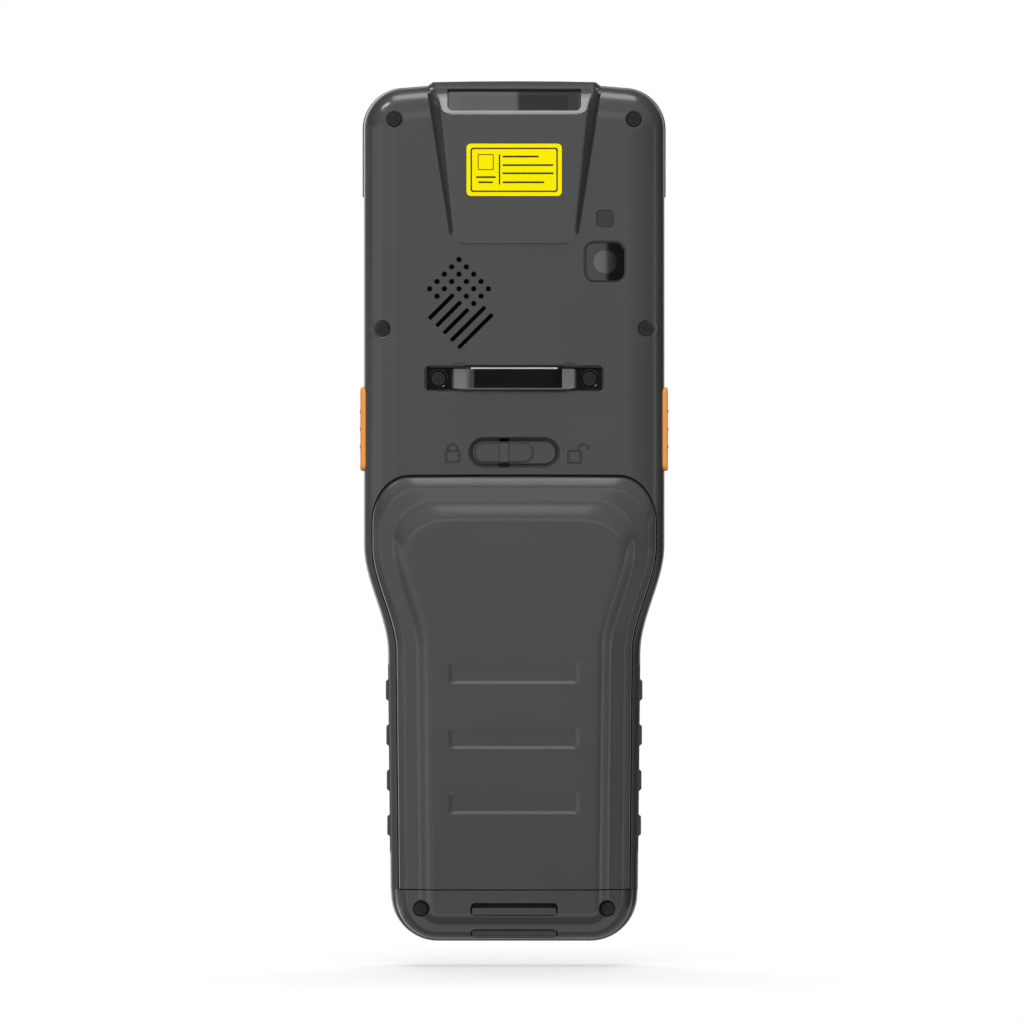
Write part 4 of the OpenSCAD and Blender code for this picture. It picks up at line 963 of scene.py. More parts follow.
class TERMINAL_PG_colours(bpy.types.PropertyGroup):
    """Colours of the terminal's plastics, rubbers and label."""
    housing: colour("Housing", "Dark grey of the housings", (0.066, 0.066, 0.067))
    black: colour("Black", "Black plastic of the camera and the switches", (0.012, 0.012, 0.013))
    rubber: colour("Rubber", "Rubber of the grips and the port cover", (0.06, 0.06, 0.06))
    orange: colour("Trigger", "Orange of the triggers and the scan key", (0.87, 0.34, 0.07))
    keys: colour("Keys", "Grey of the function keys", (0.1, 0.1, 0.105))
    label: colour("Label", "Yellow of the label", (1.0, 0.87, 0.0))


def sizes():
    """The settings for sizes in this scene."""
    return bpy.context.scene.terminal_sizes


# ---- Pieces ----

class TERMINAL_OT_finishes(bpy.types.Operator):
    """Make the finishes and dress the parts that keep their own shape"""
    bl_idname = "terminal.finishes"
    bl_label = "Finishes"

    def execute(self, context):
        make_materials(context.scene.terminal_colours)
        inside = {"mid_frame": "metal", "main_board": "board", "keypad_board": "board", "key_domes": "spring",
                  "keypad_seal": "seal", "housing_seal": "seal", "display_module": "panel",
                  "scan_engine": "black", "camera_module": "black", "speaker": "gauze",
                  "trigger_switches": "black", "battery_connector": "gold", "threaded_inserts": "brass",
                  "usb_socket": "spring", "lock_tongue": "spring", "status_lens": "flash"}
        for name, finish_name in inside.items():
            node = frame["nodes"][name]
            for place in node.material_slots:
                place.material = MATERIALS[finish_name]
        return {"FINISHED"}


class TERMINAL_OT_rear_housing(bpy.types.Operator):
    """Build the rear housing"""
    bl_idname = "terminal.rear_housing"
    bl_label = "Rear housing"

    def execute(self, context):
        shell = rear_housing(sizes().rim / MM)
        finish(shell, "rear_shell", "case", "housing", ["rear_housing"])
        return {"FINISHED"}


class TERMINAL_OT_front_housing(bpy.types.Operator):
    """Build the front housing"""
    bl_idname = "terminal.front_housing"
    bl_label = "Front housing"

    def execute(self, context):
        finish(front_housing(), "front_shell", "case", "housing", ["front_housing"])
        return {"FINISHED"}


class TERMINAL_OT_bumper(bpy.types.Operator):
    """Build the bumper round the top with its fine ribs"""
    bl_idname = "terminal.bumper"
    bl_label = "Bumper"

    def execute(self, context):
        spots = [(-0.05, BUMPER_FRONT + 0.05), (-0.33, BUMPER_FRONT + 0.4), (-0.33, BUMPER_BACK - 0.4),
                 (-0.05, BUMPER_BACK - 0.05)]
        skin_form = stacked(body_ring, spots)
        combine(skin_form, [slab(body_ring(BUMPER_T - 0.02), 2, 10)])
        combine(skin_form, [above(BUMPER_FOOT + 0.05, 20, 210)], "INTERSECT")
        path = body_ring(-0.2)
        path = path[path[:, 1] > BUMPER_FOOT + 0.6]
        path = path[np.argsort(-np.arctan2(path[:, 1] - 180, path[:, 0]))]
        step = np.r_[0, np.cumsum(np.linalg.norm(np.diff(path, axis=0), axis=1))]
        at = np.linspace(0.2, step[-1] - 0.2, sizes().teeth)
        x, z = np.interp(at, step, path[:, 0]), np.interp(at, step, path[:, 1])
        dx, dz = np.gradient(x), np.gradient(z)
        turns = [(0, math.atan2(a, -b), 0) for a, b in zip(dx, dz)]
        rib = slab(rounded(0.36, 0.36, 0.17, steps=3), MID - 3.0, MID + 3.0)
        mid = (BUMPER_FRONT + BUMPER_BACK) / 2
        ribs = copies(rib, [(a, mid, b) for a, b in zip(x, z)], turns)
        work = join([skin_form, ribs])
        finish(work, "bumper", "case", "bumper", ["top_bumper"])
        return {"FINISHED"}


def notch_cutter(z):
    """A shallow finger notch across the battery cover."""
    shape = rounded(28.6, 3.9, 0.5, 0, z)
    top = rounded(30.2, 5.2, 0.8, 0, z)
    over = rounded(31.0, 5.5, 0.9, 0, z)
    return loft([shape, top, over, over], [26.9, 27.42, 27.52, 29])


class TERMINAL_OT_battery(bpy.types.Operator):
    """Build the battery: cover, pack and seal"""
    bl_idname = "terminal.battery"
    bl_label = "Battery"

    def execute(self, context):
        spots = [(0.9, 17.0), (0.9, 20.0), (0.1, 20.05), (0.0, 20.2)]
        spots += [(i, BODY_T + d) for i, d in COVER_SLOPE]
        cover = stacked(cover_ring, spots)
        combine(cover, [above(COVER_FOOT, 60)], "INTERSECT")
        lugs = [box((s * 14.5 - 2.5, 19.3, 11.2), (s * 14.5 + 2.5, 20.8, 14)) for s in (-1, 1)]
        combine(cover, lugs, "UNION")
        hollow = combine(cover_form(2.05, 8), [above(13.9, 60)], "INTERSECT")
        combine(cover, [hollow] + [notch_cutter(32.4 + 15.1 * i) for i in range(3)])
        finish(cover, "battery_shell", "battery", "cover", ["battery_cover"])

        def pack_slab(e, low, high):
            part = slab(cover_ring(e, 0), low, high)
            return combine(part, [above(14.5, 60, 104.3)], "INTERSECT")
        pack = pack_slab(2.9, 12.7, 19.3)
        combine(pack, [pack_slab(7.25, 19.2, 21.9), pack_slab(13.25, 19.2, 25.0),
                       box((0.25, 13.2, 103.3), (4.45, 14.5, 107.2))], "UNION")
        pads = [slab(rounded(1.6, 3.4, 0.3, -13.6 + 2.4 * i, 97), 12, 12.85) for i in range(4)]
        combine(pack, pads + [slab(rounded(40, 60, 1.5, 0, 55), 12, 12.8)])
        gold = [slab(rounded(1.5, 3.3, 0.3, -13.6 + 2.4 * i, 97), 12.75, 12.9) for i in range(4)]
        sheet = slab(rounded(39.6, 59.6, 1.3, 0, 55), 12.72, 12.85)
        work = join([(pack, 0)] + [(g, 1) for g in gold] + [(sheet, 2)])
        finish(work, "battery_block", "battery", ["pack", "gold", "black"],
               ["battery_pack"])

        seal = combine(slab(cover_ring(0.4), 17.6, 19.4), [slab(cover_ring(0.92), 17, 20)])
        combine(seal, [above(COVER_FOOT, 60)], "INTERSECT")
        finish(seal, "battery_gasket", "battery", "seal", ["battery_seal"])
        return {"FINISHED"}


class TERMINAL_OT_grips(bpy.types.Operator):
    """Build the rubber pads on the sides of the grip with their ribs"""
    bl_idname = "terminal.grips"
    bl_label = "Grip pads"

    def execute(self, context):
        for s, name in ((1, "right_grip"), (-1, "left_grip")):
            pad = grip_band(s, 0.68, 0.02, 0.06)
            rib = hull([(x * s, d, z) for d0, more in ((2.4, 0), (2.0, 0.35)) for d in (MID - d0, MID + d0)
                        for x, z in ((-0.5, RIB_H / 2 + 0.4), (-0.5, -RIB_H / 2 - 0.4),
                                     (0.2 + more, RIB_H / 2 - 0.35 - more * 0.6),
                                     (0.2 + more, -RIB_H / 2 + 0.35 + more * 0.6))])
            z = np.array([RIB_Z + i * RIB_PITCH for i in range(RIB_COUNT)])
            ribs = copies(rib, [(s * float(side_x(a)), TRIGGER_MID, a) for a in z])
            combine(pad, [ribs], "UNION")
            finish(pad, name + "_pad", "case", "rubber", [name])
        return {"FINISHED"}


class TERMINAL_OT_triggers(bpy.types.Operator):
    """Build the two side triggers with their three bumps"""
    bl_idname = "terminal.triggers"
    bl_label = "Triggers"

    def execute(self, context):
        for s, name in ((1, "right_trigger"), (-1, "left_trigger")):
            cap = sideways(plate(grow(TRIGGER_W, TRIGGER_L, 1.6, steps=8), -2.2, 0.78, 0.45), HEAD_HALF,
                           TRIGGER_MID, TRIGGER_Z)
            if s < 0:
                mirrored(cap)
            lip = sideways(plate(grow(8.4, 21.1, 1.6), -0.3, 0.3), s * 32.65, TRIGGER_MID, TRIGGER_Z)
            combine(cap, [lip], "UNION")
            bump = loft([disc(r, steps=24) for r in (0.7, 1.0, 1.0, 0.7)],
                        [MID - 2.4, MID - 2.1, MID + 2.1, MID + 2.4])
            bumps = copies(bump, [(s * 34.95, TRIGGER_MID, TRIGGER_Z + 4.1 * i) for i in (-1, 0, 1)])
            combine(cap, [bumps], "UNION")
            finish(cap, name + "_cap", name + "_body", "trigger", [name])
        return {"FINISHED"}


def screw_part(r):
    """A pan head screw with a cross recess, its seat at the origin, without its shank."""
    rings = [(r - 0.06, 0.0), (r, 0.08), (r, SCREW_HEAD_T - 0.32), (r - 0.1, SCREW_HEAD_T - 0.12),
             (r - 0.35, SCREW_HEAD_T)]
    head = loft([disc(a, steps=28) for a, d in rings], [d + MID for a, d in rings])
    combine(head, [slab(disc(SCREW_R, steps=16), MID - 4.5, MID + 0.1)], "UNION")
    cross = [slab(rounded(w, h, 0.2), MID + 0.8, MID + 3) for w, h in ((2.1, 0.42), (0.42, 2.1))]
    return combine(head, [combine(cross[0], cross[1:], "UNION")])


class TERMINAL_OT_bracket(bpy.types.Operator):
    """Build the strap bracket and the screws"""
    bl_idname = "terminal.bracket"
    bl_label = "Strap bracket and screws"

    def execute(self, context):
        half, wide = 20.3, 5.1
        thick = 1.2
        knots = [(half, 0), (14.5, 0), (14.45, 0.04), (11.2, 2.87), (10.8, 3.16), (10.3, 3.4), (9.8, 3.56),
                 (9.3, 3.64), (8.8, 3.67)]
        upper = [(x, BRACKET_FLOOR + thick + d) for x, d in knots]
        lower = [(x - 0.35 if x < half else x, BRACKET_FLOOR + d) for x, d in knots]
        half_ring = upper + [(-x, d) for x, d in upper[::-1]] + [(-x, d) for x, d in lower] + lower[::-1]
        ring_points = np.array(half_ring)
        low, high = BRACKET_Z - wide / 2, BRACKET_Z + wide / 2
        bevel = 0.28
        layers = [(low, bevel), (low + 0.35, 0), (high - 0.35, 0), (high, bevel)]
        count = len(ring_points)
        points, faces = [], []
        for z, inset in layers:
            for k, (x, d) in enumerate(ring_points):
                up = -inset if k < len(upper) * 2 else 0
                points.append((x, d + up - MID, z))
        faces = [list(range(count)), [len(points) - 1 - i for i in range(count)]]
        for j in range(3):
            for i in range(count):
                a, b = j * count + i, j * count + (i + 1) % count
                faces.append([a, b, b + count, a + count])
        strip = solid(points, faces)
        seat = BRACKET_FLOOR + 0.25
        combine(strip, [post(s * BRACKET_SCREW_X, BRACKET_Z, 1.05, 18, 24) for s in (-1, 1)])
        combine(strip, [loft([disc(r, s * BRACKET_SCREW_X, BRACKET_Z) for r in (1.95, 1.95, 2.15, 2.15)],
                             [seat, seat + 0.8, seat + 0.96, 24]) for s in (-1, 1)])
        finish(strip, "strap_loop", "case", "gloss", ["strap_bracket"])

        heads = copies(screw_part(1.69), [(s * BRACKET_SCREW_X, seat, BRACKET_Z) for s in (-1, 1)],
                       [(0, 0.4 * s, 0) for s in (-1, 1)], material=MATERIALS["steel"])
        finish(heads, "strap_screw_pair", "case", "steel", ["strap_screws"])
        spots = [(s * x, d, z) for s in (-1, 1) for x, z, d in SCREWS]
        turns = [(0, 0.3 + 0.9 * i, 0) for i in range(6)]
        heads = copies(screw_part(SCREW_HEAD_R - 0.08), spots, turns, material=MATERIALS["steel"])
        finish(heads, "housing_screw_set", "case", "steel", ["housing_screws"])
        return {"FINISHED"}


class TERMINAL_OT_lock(bpy.types.Operator):
    """Build the lock slider"""
    bl_idname = "terminal.lock"
    bl_label = "Lock slider"

    def execute(self, context):
        slider = stacked(grow(13.7, 4.6, 2.29, LOCK_X, LOCK_Z, steps=12),
                         [(0, 21.75), (0, 21.77), (-0.27, 22.38)])
        ridge = stacked(grow(2.6, 4.9, 0.5, LOCK_X, LOCK_Z), [(0, 21.9), (0, 22.2), (-0.27, 22.85)])
        stem = box((LOCK_X - 1.5, 16, LOCK_Z - 1), (LOCK_X + 1.5, 22, LOCK_Z + 1))
        combine(slider, [ridge, stem], "UNION")
        finish(slider, "lock_button", "lock", "housing", ["lock_slider"])
        return {"FINISHED"}


class TERMINAL_OT_optics(bpy.types.Operator):
    """Build the scan window, the camera window and the flash lens"""
    bl_idname = "terminal.optics"
    bl_label = "Windows of the scanner and the camera"

    def execute(self, context):
        def plane(w, l, r, low, high, rim=0.0):
            part = plate(grow(w, l, r), low, high, rim)
            part.data.transform(Matrix.Rotation(math.pi / 2, 4, "X"))
            return part
        glass = plane(SCAN_W, SCAN_L, 0.5, -0.6, 0, 0.12)
        pane = plane(SCAN_W - 5.4, SCAN_L - 2.6, 0.2, -0.2, 0.004)
        work = join([(in_window(placed(part, Matrix.Translation((0, 0, -SCAN_SET)))), number)
                     for number, part in enumerate((glass, pane))])
        finish(work, "scan_glass", "case", ["print", "glass"], ["scan_window"], 20)

        def at_camera(part, rise=0.0):
            part.data.transform(Matrix.Translation((CAMERA_X, 0, CAMERA_Z + rise)))
            return part
        pane = plate(grow(8.9, 8.9, 2.1, steps=10), 21.2, 22.05, 0.15)
        pane.data.transform(Matrix.Translation((0, -MID, 0)))
        combine(pane, [slab(disc(2.85, steps=48), 21.6, 24)])
        lens = loft([disc(r, steps=48) for r in (2.8, 2.8, 2.74)], [21.25, 21.96, 22.0])
        work = join([(pane, 0), (lens, 1)])
        finish(at_camera(work), "camera_glass", "case", ["glass", "lens"],
               ["camera_window"], 10)

        wide = rounded(3.8, 3.8, 0.9)
        rings = [(wide, 20.5), (wide, 22.1), (rounded(3.5, 3.5, 0.8), 22.22)]
        radius = [1.62, 1.5, 1.32, 1.2, 0.95, 0.83, 0.6, 0.48, 0.3]
        rings += [(disc(r, steps=28), 22.22 if k % 4 in (0, 3) else 22.06) for k, r in enumerate(radius)]
        lens = loft([r for r, d in rings], [d for r, d in rings])
        finish(at_camera(lens, FLASH_RISE), "flash_glass", "case", "flash", ["flash_lens"])
        return {"FINISHED"}


class TERMINAL_OT_label(bpy.types.Operator):
    """Build the label with its border and ruled lines"""
    bl_idname = "terminal.label"
    bl_label = "Label"

    def execute(self, context):
        def on_hood(part):
            place = Matrix.Translation((0, roof_depth(LABEL_Z) - MID, LABEL_Z))
            return placed(part, place @ Matrix.Rotation(-math.atan(ROOF_RISE), 4, "X"))

        def inked(outline, hole=None):
            mark = slab(outline, MID + 0.1, MID + 0.175)
            if hole is not None:
                combine(mark, [slab(hole, MID - 1, MID + 1)])
            parts.append((on_hood(mark), 1))
        parts = [(on_hood(plate(grow(22.1, 12.2, 1), 0.05, 0.16)), 0)]
        inked(rounded(20.25, 10.35, 0.6), rounded(19.55, 9.65, 0.4))
        inked(rounded(3.7, 3.7, 0.3, 6.6, 1.8), rounded(3.3, 3.3, 0.15, 6.6, 1.8))
        inked(rounded(0.34, 7.1, 0.1, 3.39, 0.07))
        for up, x, w in ((3.1, 2.7, 8.4), (1.1, 2.7, 11.8), (-0.8, 2.7, 11.8), (-2.9, 2.7, 9.7),
                         (-1.7, 8.9, 4.6), (-2.9, 8.3, 3.4)):
            inked(rounded(w, 0.42, 0.18, x - w / 2, up))
        work = join(parts)
        finish(work, "label_sheet", "case", ["label", "ink"], ["asset_label"])
        return {"FINISHED"}


class TERMINAL_OT_display(bpy.types.Operator):
    """Build the display window"""
    bl_idname = "terminal.display"
    bl_label = "Display window"

    def execute(self, context):
        def sheet(w, l, r, low, high):
            return slab(rounded(w, l, r, 0, WINDOW_MID_Z, steps=10), low, high)
        rings = [(0.25, 0.2), (0.08, 0.24), (0.0, 0.34), (0.0, 1.3)]
        glass = loft([rounded(WINDOW_W - 2 * i, WINDOW_L - 2 * i, 3.8 - i, 0, WINDOW_MID_Z, steps=10)
                      for i, d in rings], [d for i, d in rings])
        combine(glass, [sheet(54.0, 92.0, 0.6, 0, 0.22)])
        panel = sheet(53.96, 91.96, 0.6, 0.205, 0.3)
        finish(join([(glass, 0), (panel, 1)]), "display_glass", "case", ["glass", "panel"],
               ["display_window"], 20)
        return {"FINISHED"}


def lettering(text, size):
    """A legend as a thin solid around the origin, read from the front."""
    curve = bpy.data.curves.new("legend", "FONT")
    curve.body, curve.size, curve.align_x, curve.align_y = text, size, "CENTER", "CENTER"
    curve.extrude = 0.05
    curve.resolution_u = 3
    flat_text = added("legend", curve)
    graph = bpy.context.evaluated_depsgraph_get()
    mesh = bpy.data.meshes.new_from_object(flat_text.evaluated_get(graph), depsgraph=graph)
    bpy.data.objects.remove(flat_text)
    mesh.materials.clear()
    work = added("work", mesh)
    xs = [v.co.x for v in mesh.vertices]
    ys = [v.co.y for v in mesh.vertices]
    mesh.transform(Matrix.Translation((-(min(xs) + max(xs)) / 2, -(min(ys) + max(ys)) / 2, 0)))
    mesh.transform(Matrix.Rotation(math.pi / 2, 4, "X"))
    form = bmesh.new()
    form.from_mesh(mesh)
    bmesh.ops.remove_doubles(form, verts=form.verts, dist=1e-4)
    bmesh.ops.recalc_face_normals(form, faces=form.faces)
    form.to_mesh(mesh)
    form.free()
    return work


def legend(name, size):
    """The mark on a key, around the origin, thickness along the depth."""
    def ink(outline):
        return slab(np.array(outline), MID - 0.05, MID + 0.05)

    def arrow(turn):
        a = [math.radians(turn + k) for k in (90, 210, 330)]
        return ink([(1.5 * math.cos(t), 1.3 * math.sin(t)) for t in a])

    def bar(w, h, x=0.0, z=0.0):
        return ink(rounded(w, h, min(w, h) * 0.3, x, z))
    words = {"ok": "OK", "fn": "FN", "star": "*", "hash": "#"}
    if name in words or name.isdigit():
        big = size * (0.86 if len(words.get(name, "1")) > 1 else 1.35 if name == "star" else 1)
        return [lettering(words.get(name, name), big * 1.25)]
    if name in ("up", "down", "left", "right"):
        return [arrow({"up": 0, "left": -90, "down": 180, "right": 90}[name])]
    if name == "scan":
        lines = ((-2.6, 0.5), (-1.5, 0.9), (-0.3, 0.4), (0.7, 0.7), (1.7, 0.4), (2.6, 0.6))
        return [bar(w, 3.4, x) for x, w in lines]
    if name in ("soft_left", "soft_right"):
        return [bar(3.2, 0.6)]
    if name == "power":
        ring_part = ink(disc(1.6, steps=28))
        combine(ring_part, [slab(disc(1.2, steps=28), MID - 1, MID + 1),
                            box((-0.6, MID - 1, 0.3), (0.6, MID + 1, 3))])
        return [ring_part, bar(0.4, 1.7, 0, 0.95)]
    if name == "back":
        return [combine(bar(2.6, 0.5, -0.5, 0), [ink([(0.6, 1.2), (2.1, 0), (0.6, -1.2)])], "UNION")]
    return [combine(bar(2.2, 1.9, -0.3, 0), [ink([(0.7, 0.95), (1.9, 0), (0.7, -0.95)])], "UNION")]


class TERMINAL_OT_keys(bpy.types.Operator):
    """Build the 24 keys with dished caps and legends"""
    bl_idname = "terminal.keys"
    bl_label = "Keys"

    def execute(self, context):
        dish = sizes().dish / MM
        for i, name in enumerate(KEYS):
            x, z = key_spot(i)
            spots = [(0, 2.5), (0, -0.1), (0.06, -0.28), (0.2, -0.37), (0.42, -0.4), (0.7, -0.385),
                     (1.3, -0.4 + dish * 0.5), (2.2, -0.4 + dish)]
            cap = loft([rounded(KEY_W - 2 * e, KEY_H - 2 * e, max(1.6 - e, 0.4), x, z) for e, d in spots],
                       [d for e, d in spots])
            base = slab(rounded(14.4, 8.2, 1.6, x, z), 2.5, 3.2)
            stem = post(x, z, 1.2, 3.1, 4.05, 20)
            combine(cap, [base, stem], "UNION")
            marks = legend(name, sizes().legend / MM)
            for mark in marks:
                mark.data.transform(Matrix.Translation((x, dish - KEY_PROUD - MID, z)))
            work = join([(cap, 0)] + [(m, 1) for m in marks])
            look = "scan_key" if name == "scan" else "key" if i < 12 else "key_dark"
            finish(work, "cap_" + name, f"key_{name}_body",
                   [look, "legend_dark" if name == "scan" else "legend"],
                   ["key_" + name])
        return {"FINISHED"}


class TERMINAL_OT_port_cover(bpy.types.Operator):
    """Build the rubber cover over the charging socket"""
    bl_idname = "terminal.port_cover"
    bl_label = "Port cover"

    def execute(self, context):
        cover = plate(grow(PORT_L, PORT_W, 0.8), -1.29, -0.01, 0.25)
        cover.data.transform(Matrix.Rotation(-math.pi / 2, 4, "X"))
        cover.data.transform(Matrix.Translation((0, PORT_MID - MID, 0)))
        plug = box((-3.4, 4.4, 1.2), (3.4, 6.4, 1.88))
        lip_cut = box((8.6, 7.2, -1), (12.4, 9, 0.6))
        ribs = [box((-1.2 + k, 3.2, -0.02), (-0.8 + k, 7.6, 0.12)) for k in (-10, -9, -8, -7)]
        combine(cover, [plug], "UNION")
        combine(cover, [lip_cut] + ribs)
        finish(cover, "port_flap", "port_door", "rubber", ["port_cover"])
        return {"FINISHED"}


# ---- Studio ----

FLOOR_Z = -0.0058
CAMERA_DISTANCE = 2.9813
DOME_R = 1.2


def emission_nodes(name):
    """A bare material that only glows, and its tree."""
    material = bpy.data.materials.new(name)
    material.use_nodes = True
    tree = material.node_tree
    tree.nodes.clear()
    glow, end = tree.nodes.new("ShaderNodeEmission"), tree.nodes.new("ShaderNodeOutputMaterial")
    tree.links.new(glow.outputs["Emission"], end.inputs["Surface"])
    return material, tree, glow, end


def math_node(tree, operation, a, b=None):
    """One math step between sockets or numbers."""
    node = tree.nodes.new("ShaderNodeMath")
    node.operation = operation
    for place, value in enumerate((a, b)):
        if value is None:
            continue
        if hasattr(value, "links"):
            tree.links.new(value, node.inputs[place])
        else:
            node.inputs[place].default_value = value
    return node.outputs["Value"]


# Cards of the studio tent, which only glossy surfaces see. Each has its pitch in degrees, from the horizon
# in front over the top (low, high), the sideways part of its direction (low, high), the softness of its
# edges in degrees, and its brightness. One below 0 takes light from the cards it lies on.
CARDS = [(-20, 12, -2, 2, 12, 0.03), (-26, -10, -0.5, 0.5, 5, 0.5), (20, 31, -0.6, 0.6, 6, 1.0),
         (31, 77, -0.9, 0.9, 6, 0.3), (77, 97, 0.05, 0.35, 4, 5.5), (77, 97, -0.35, -0.05, 4, 5.5),
         (77, 86.5, -0.05, 0.05, 4, 5.5), (91.5, 104, -0.05, 0.05, 3, 9.0),
         (85, 91, -0.00114, 0.04, 0.005, 2.2), (85, 91, -0.04, -0.00114, 0.005, 0.6),
         (73, 78, 0.48, 0.68, 2, 30.0), (142, 202, -0.62, 0.62, 8, 0.7), (142, 202, 0.12, 0.62, 6, 0.9),
         (-100, -24, -2, 2, 8, 0.85), (205, 280, -2, 2, 8, 0.3), (150, 210, 0.6, 0.985, 6, 0.35),
         (170, 177.5, -0.08, 0.08, 2, -0.45), (177.5, 192, -0.08, 0.08, 2, -0.8),
         (-60, 60, 0.976, 0.9965, 0.1, 1.2), (-60, 60, -0.9965, -0.976, 0.1, 1.2),
         (-25, 25, 0.75, 0.976, 3, 0.9),
         (-25, 25, 0.25, 0.75, 4, 0.45), (150, 210, 0.985, 2, 0.1, 0.9),
         (3.3, 4.5, -0.02525, -0.0188, 0.005, 1.6)]


def studio_dome():
    """A tent that only glossy surfaces see, with its cards as a pattern on its inside."""
    form = bmesh.new()
    bmesh.ops.create_uvsphere(form, u_segments=64, v_segments=32, radius=DOME_R)
    mesh = bpy.data.meshes.new("studio_dome")
    form.to_mesh(mesh)
    form.free()
    dome = added("studio_dome", mesh)
    dome.location = (0, 0, 0.1)
    material, tree, glow, _ = emission_nodes("Studio tent")
    material.cycles.emission_sampling = "NONE"
    node, link = tree.nodes.new, tree.links.new
    place, split = node("ShaderNodeTexCoord"), node("ShaderNodeSeparateXYZ")
    unit = node("ShaderNodeVectorMath")
    unit.operation = "NORMALIZE"
    link(place.outputs["Object"], unit.inputs[0])
    link(unit.outputs["Vector"], split.inputs["Vector"])
    x, y, z = split.outputs["X"], split.outputs["Y"], split.outputs["Z"]
    over = math_node(tree, "ARCTAN2", math_node(tree, "MULTIPLY", y, -1), z)
    pitch = math_node(tree, "ADD", math_node(tree, "MULTIPLY", over, 180 / math.pi), 90)
    total = None

    def edge(value, at, soft, falling):
        step = node("ShaderNodeMapRange")
        step.interpolation_type = "SMOOTHSTEP"
        step.inputs["From Min"].default_value = at - soft / 2
        step.inputs["From Max"].default_value = at + soft / 2
        ends = (1, 0) if falling else (0, 1)
        step.inputs["To Min"].default_value, step.inputs["To Max"].default_value = ends
        link(value, step.inputs["Value"])
        return step.outputs["Result"]
    for low, high, left, right, soft, level in CARDS:
        part = math_node(tree, "MULTIPLY", edge(pitch, low, soft, False), edge(pitch, high, soft, True))
        for at, falling in ((left, False), (right, True)):
            if abs(at) < 1.5:
                part = math_node(tree, "MULTIPLY", part, edge(x, at, soft / 60, falling))
        part = math_node(tree, "MULTIPLY", part, level)
        total = part if total is None else math_node(tree, "ADD", total, part)
    link(total, glow.inputs["Strength"])
    mesh.materials.append(material)
    dome.visible_camera = dome.visible_diffuse = dome.visible_shadow = False
    dome.visible_transmission = dome.visible_volume_scatter = False


def area_light(name, place, target, size, watts, glossy=False):
    """A soft rectangular lamp that points at a target."""
    lamp = bpy.data.lights.new(name, "AREA")
    lamp.shape, lamp.size, lamp.size_y, lamp.energy = "RECTANGLE", *size, watts
    light = bpy.data.objects.new(name, lamp)
    light.location = place
    light.rotation_euler = (Vector(target) - Vector(place)).to_track_quat("-Z", "Y").to_euler()
    light.visible_glossy = glossy
    bpy.context.scene.collection.objects.link(light)
    return light


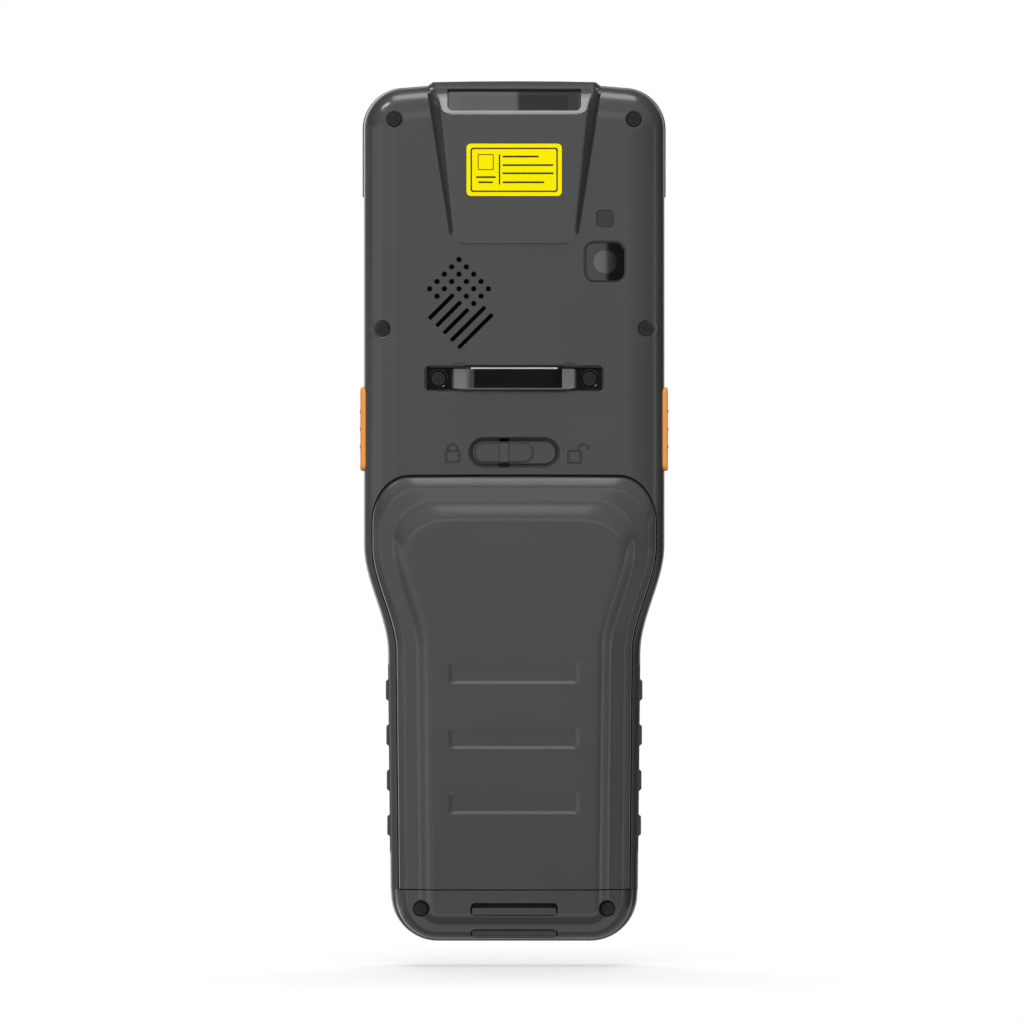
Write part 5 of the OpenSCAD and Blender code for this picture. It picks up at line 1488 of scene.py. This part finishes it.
class TERMINAL_OT_stage(bpy.types.Operator):
    """Build the floor, the lights, the tent and the camera"""
    bl_idname = "terminal.stage"
    bl_label = "Studio"

    def execute(self, context):
        scene = context.scene
        scene.view_settings.view_transform = "Standard"
        world = bpy.data.worlds.new("Studio white")
        world.use_nodes = True
        scene.world = world
        tree = world.node_tree
        node, link = tree.nodes.new, tree.links.new
        rays, shade = node("ShaderNodeLightPath"), tree.nodes["Background"]
        seen = math_node(tree, "MAXIMUM", rays.outputs["Is Camera Ray"],
                         math_node(tree, "MAXIMUM", rays.outputs["Is Glossy Ray"],
                                   rays.outputs["Is Transmission Ray"]))
        strength = node("ShaderNodeMapRange")
        strength.inputs["To Min"].default_value = 0.1
        link(seen, strength.inputs["Value"])
        shade.inputs["Color"].default_value = (1, 1, 1, 1)
        link(strength.outputs["Result"], shade.inputs["Strength"])

        mesh = bpy.data.meshes.new("floor")
        half = 6.0
        mesh.from_pydata([(-half, -half, FLOOR_Z), (half, -half, FLOOR_Z), (half, half, FLOOR_Z),
                          (-half, half, FLOOR_Z)], [], [(0, 1, 2, 3)])
        floor = added("floor", mesh)
        material, tree, glow, end = emission_nodes("Pale floor")
        node, link = tree.nodes.new, tree.links.new
        paper, blend = node("ShaderNodeBsdfDiffuse"), node("ShaderNodeMixShader")
        paper.inputs["Color"].default_value = (0.85, 0.85, 0.85, 1)
        glow.inputs["Strength"].default_value = 1.0
        place, length = node("ShaderNodeTexCoord"), node("ShaderNodeVectorMath")
        length.operation = "LENGTH"
        link(place.outputs["Object"], length.inputs[0])
        far = node("ShaderNodeMapRange")
        far.interpolation_type = "SMOOTHSTEP"
        far.inputs["From Min"].default_value, far.inputs["From Max"].default_value = 0.05, 0.3
        far.inputs["To Min"].default_value = 0.6
        link(length.outputs["Value"], far.inputs["Value"])
        link(far.outputs["Result"], blend.inputs["Fac"])
        link(paper.outputs["BSDF"], blend.inputs[1])
        link(glow.outputs["Emission"], blend.inputs[2])
        link(blend.outputs["Shader"], end.inputs["Surface"])
        mesh.materials.append(material)
        floor.visible_glossy = floor.visible_diffuse = False

        studio_dome()
        area_light("key", (0.03, 0.45, 0.2), (0, 0, 0.1), (0.25, 0.4), 1.9)
        area_light("top", (0, 0.2, 0.85), (0, 0, 0.1), (0.6, 0.4), 2.0)
        area_light("front", (0, -0.6, 0.7), (0, 0, 0.1), (0.7, 0.5), 8.4)

        data = bpy.data.cameras.new("camera")
        data.sensor_width, data.lens = 36.0, 450.0
        eye = bpy.data.objects.new("camera", data)
        eye.location = (0.0005, CAMERA_DISTANCE, 0.0998)
        eye.rotation_euler = (math.pi / 2, 0, math.pi)
        data.clip_start, data.clip_end = 0.05, 30
        scene.collection.objects.link(eye)
        scene.camera = eye
        return {"FINISHED"}


PIECES = [TERMINAL_OT_finishes, TERMINAL_OT_rear_housing, TERMINAL_OT_front_housing, TERMINAL_OT_bumper,
          TERMINAL_OT_battery, TERMINAL_OT_grips, TERMINAL_OT_triggers, TERMINAL_OT_bracket, TERMINAL_OT_lock,
          TERMINAL_OT_optics, TERMINAL_OT_label, TERMINAL_OT_display, TERMINAL_OT_keys,
          TERMINAL_OT_port_cover, TERMINAL_OT_stage]


class TERMINAL_PT_panel(bpy.types.Panel):
    """Lists the pieces and the settings"""
    bl_idname = "TERMINAL_PT_panel"
    bl_label = "Data terminal"
    bl_space_type = "VIEW_3D"
    bl_region_type = "UI"
    bl_category = "Terminal"

    def draw(self, context):
        for group in (context.scene.terminal_sizes, context.scene.terminal_colours):
            for name in group.bl_rna.properties.keys():
                if name not in ("rna_type", "name"):
                    self.layout.prop(group, name)
        for piece in PIECES:
            self.layout.operator(piece.bl_idname)


CLASSES = [TERMINAL_PG_sizes, TERMINAL_PG_colours] + PIECES + [TERMINAL_PT_panel]


def register():
    for one in CLASSES:
        bpy.utils.register_class(one)
    bpy.types.Scene.terminal_sizes = PointerProperty(type=TERMINAL_PG_sizes)
    bpy.types.Scene.terminal_colours = PointerProperty(type=TERMINAL_PG_colours)


def unregister():
    del bpy.types.Scene.terminal_colours
    del bpy.types.Scene.terminal_sizes
    for one in reversed(CLASSES):
        bpy.utils.unregister_class(one)


def main():
    register()
    for piece in PIECES:
        group, name = piece.bl_idname.split(".")
        getattr(getattr(bpy.ops, group), name)()


if __name__ == "__main__":
    main()
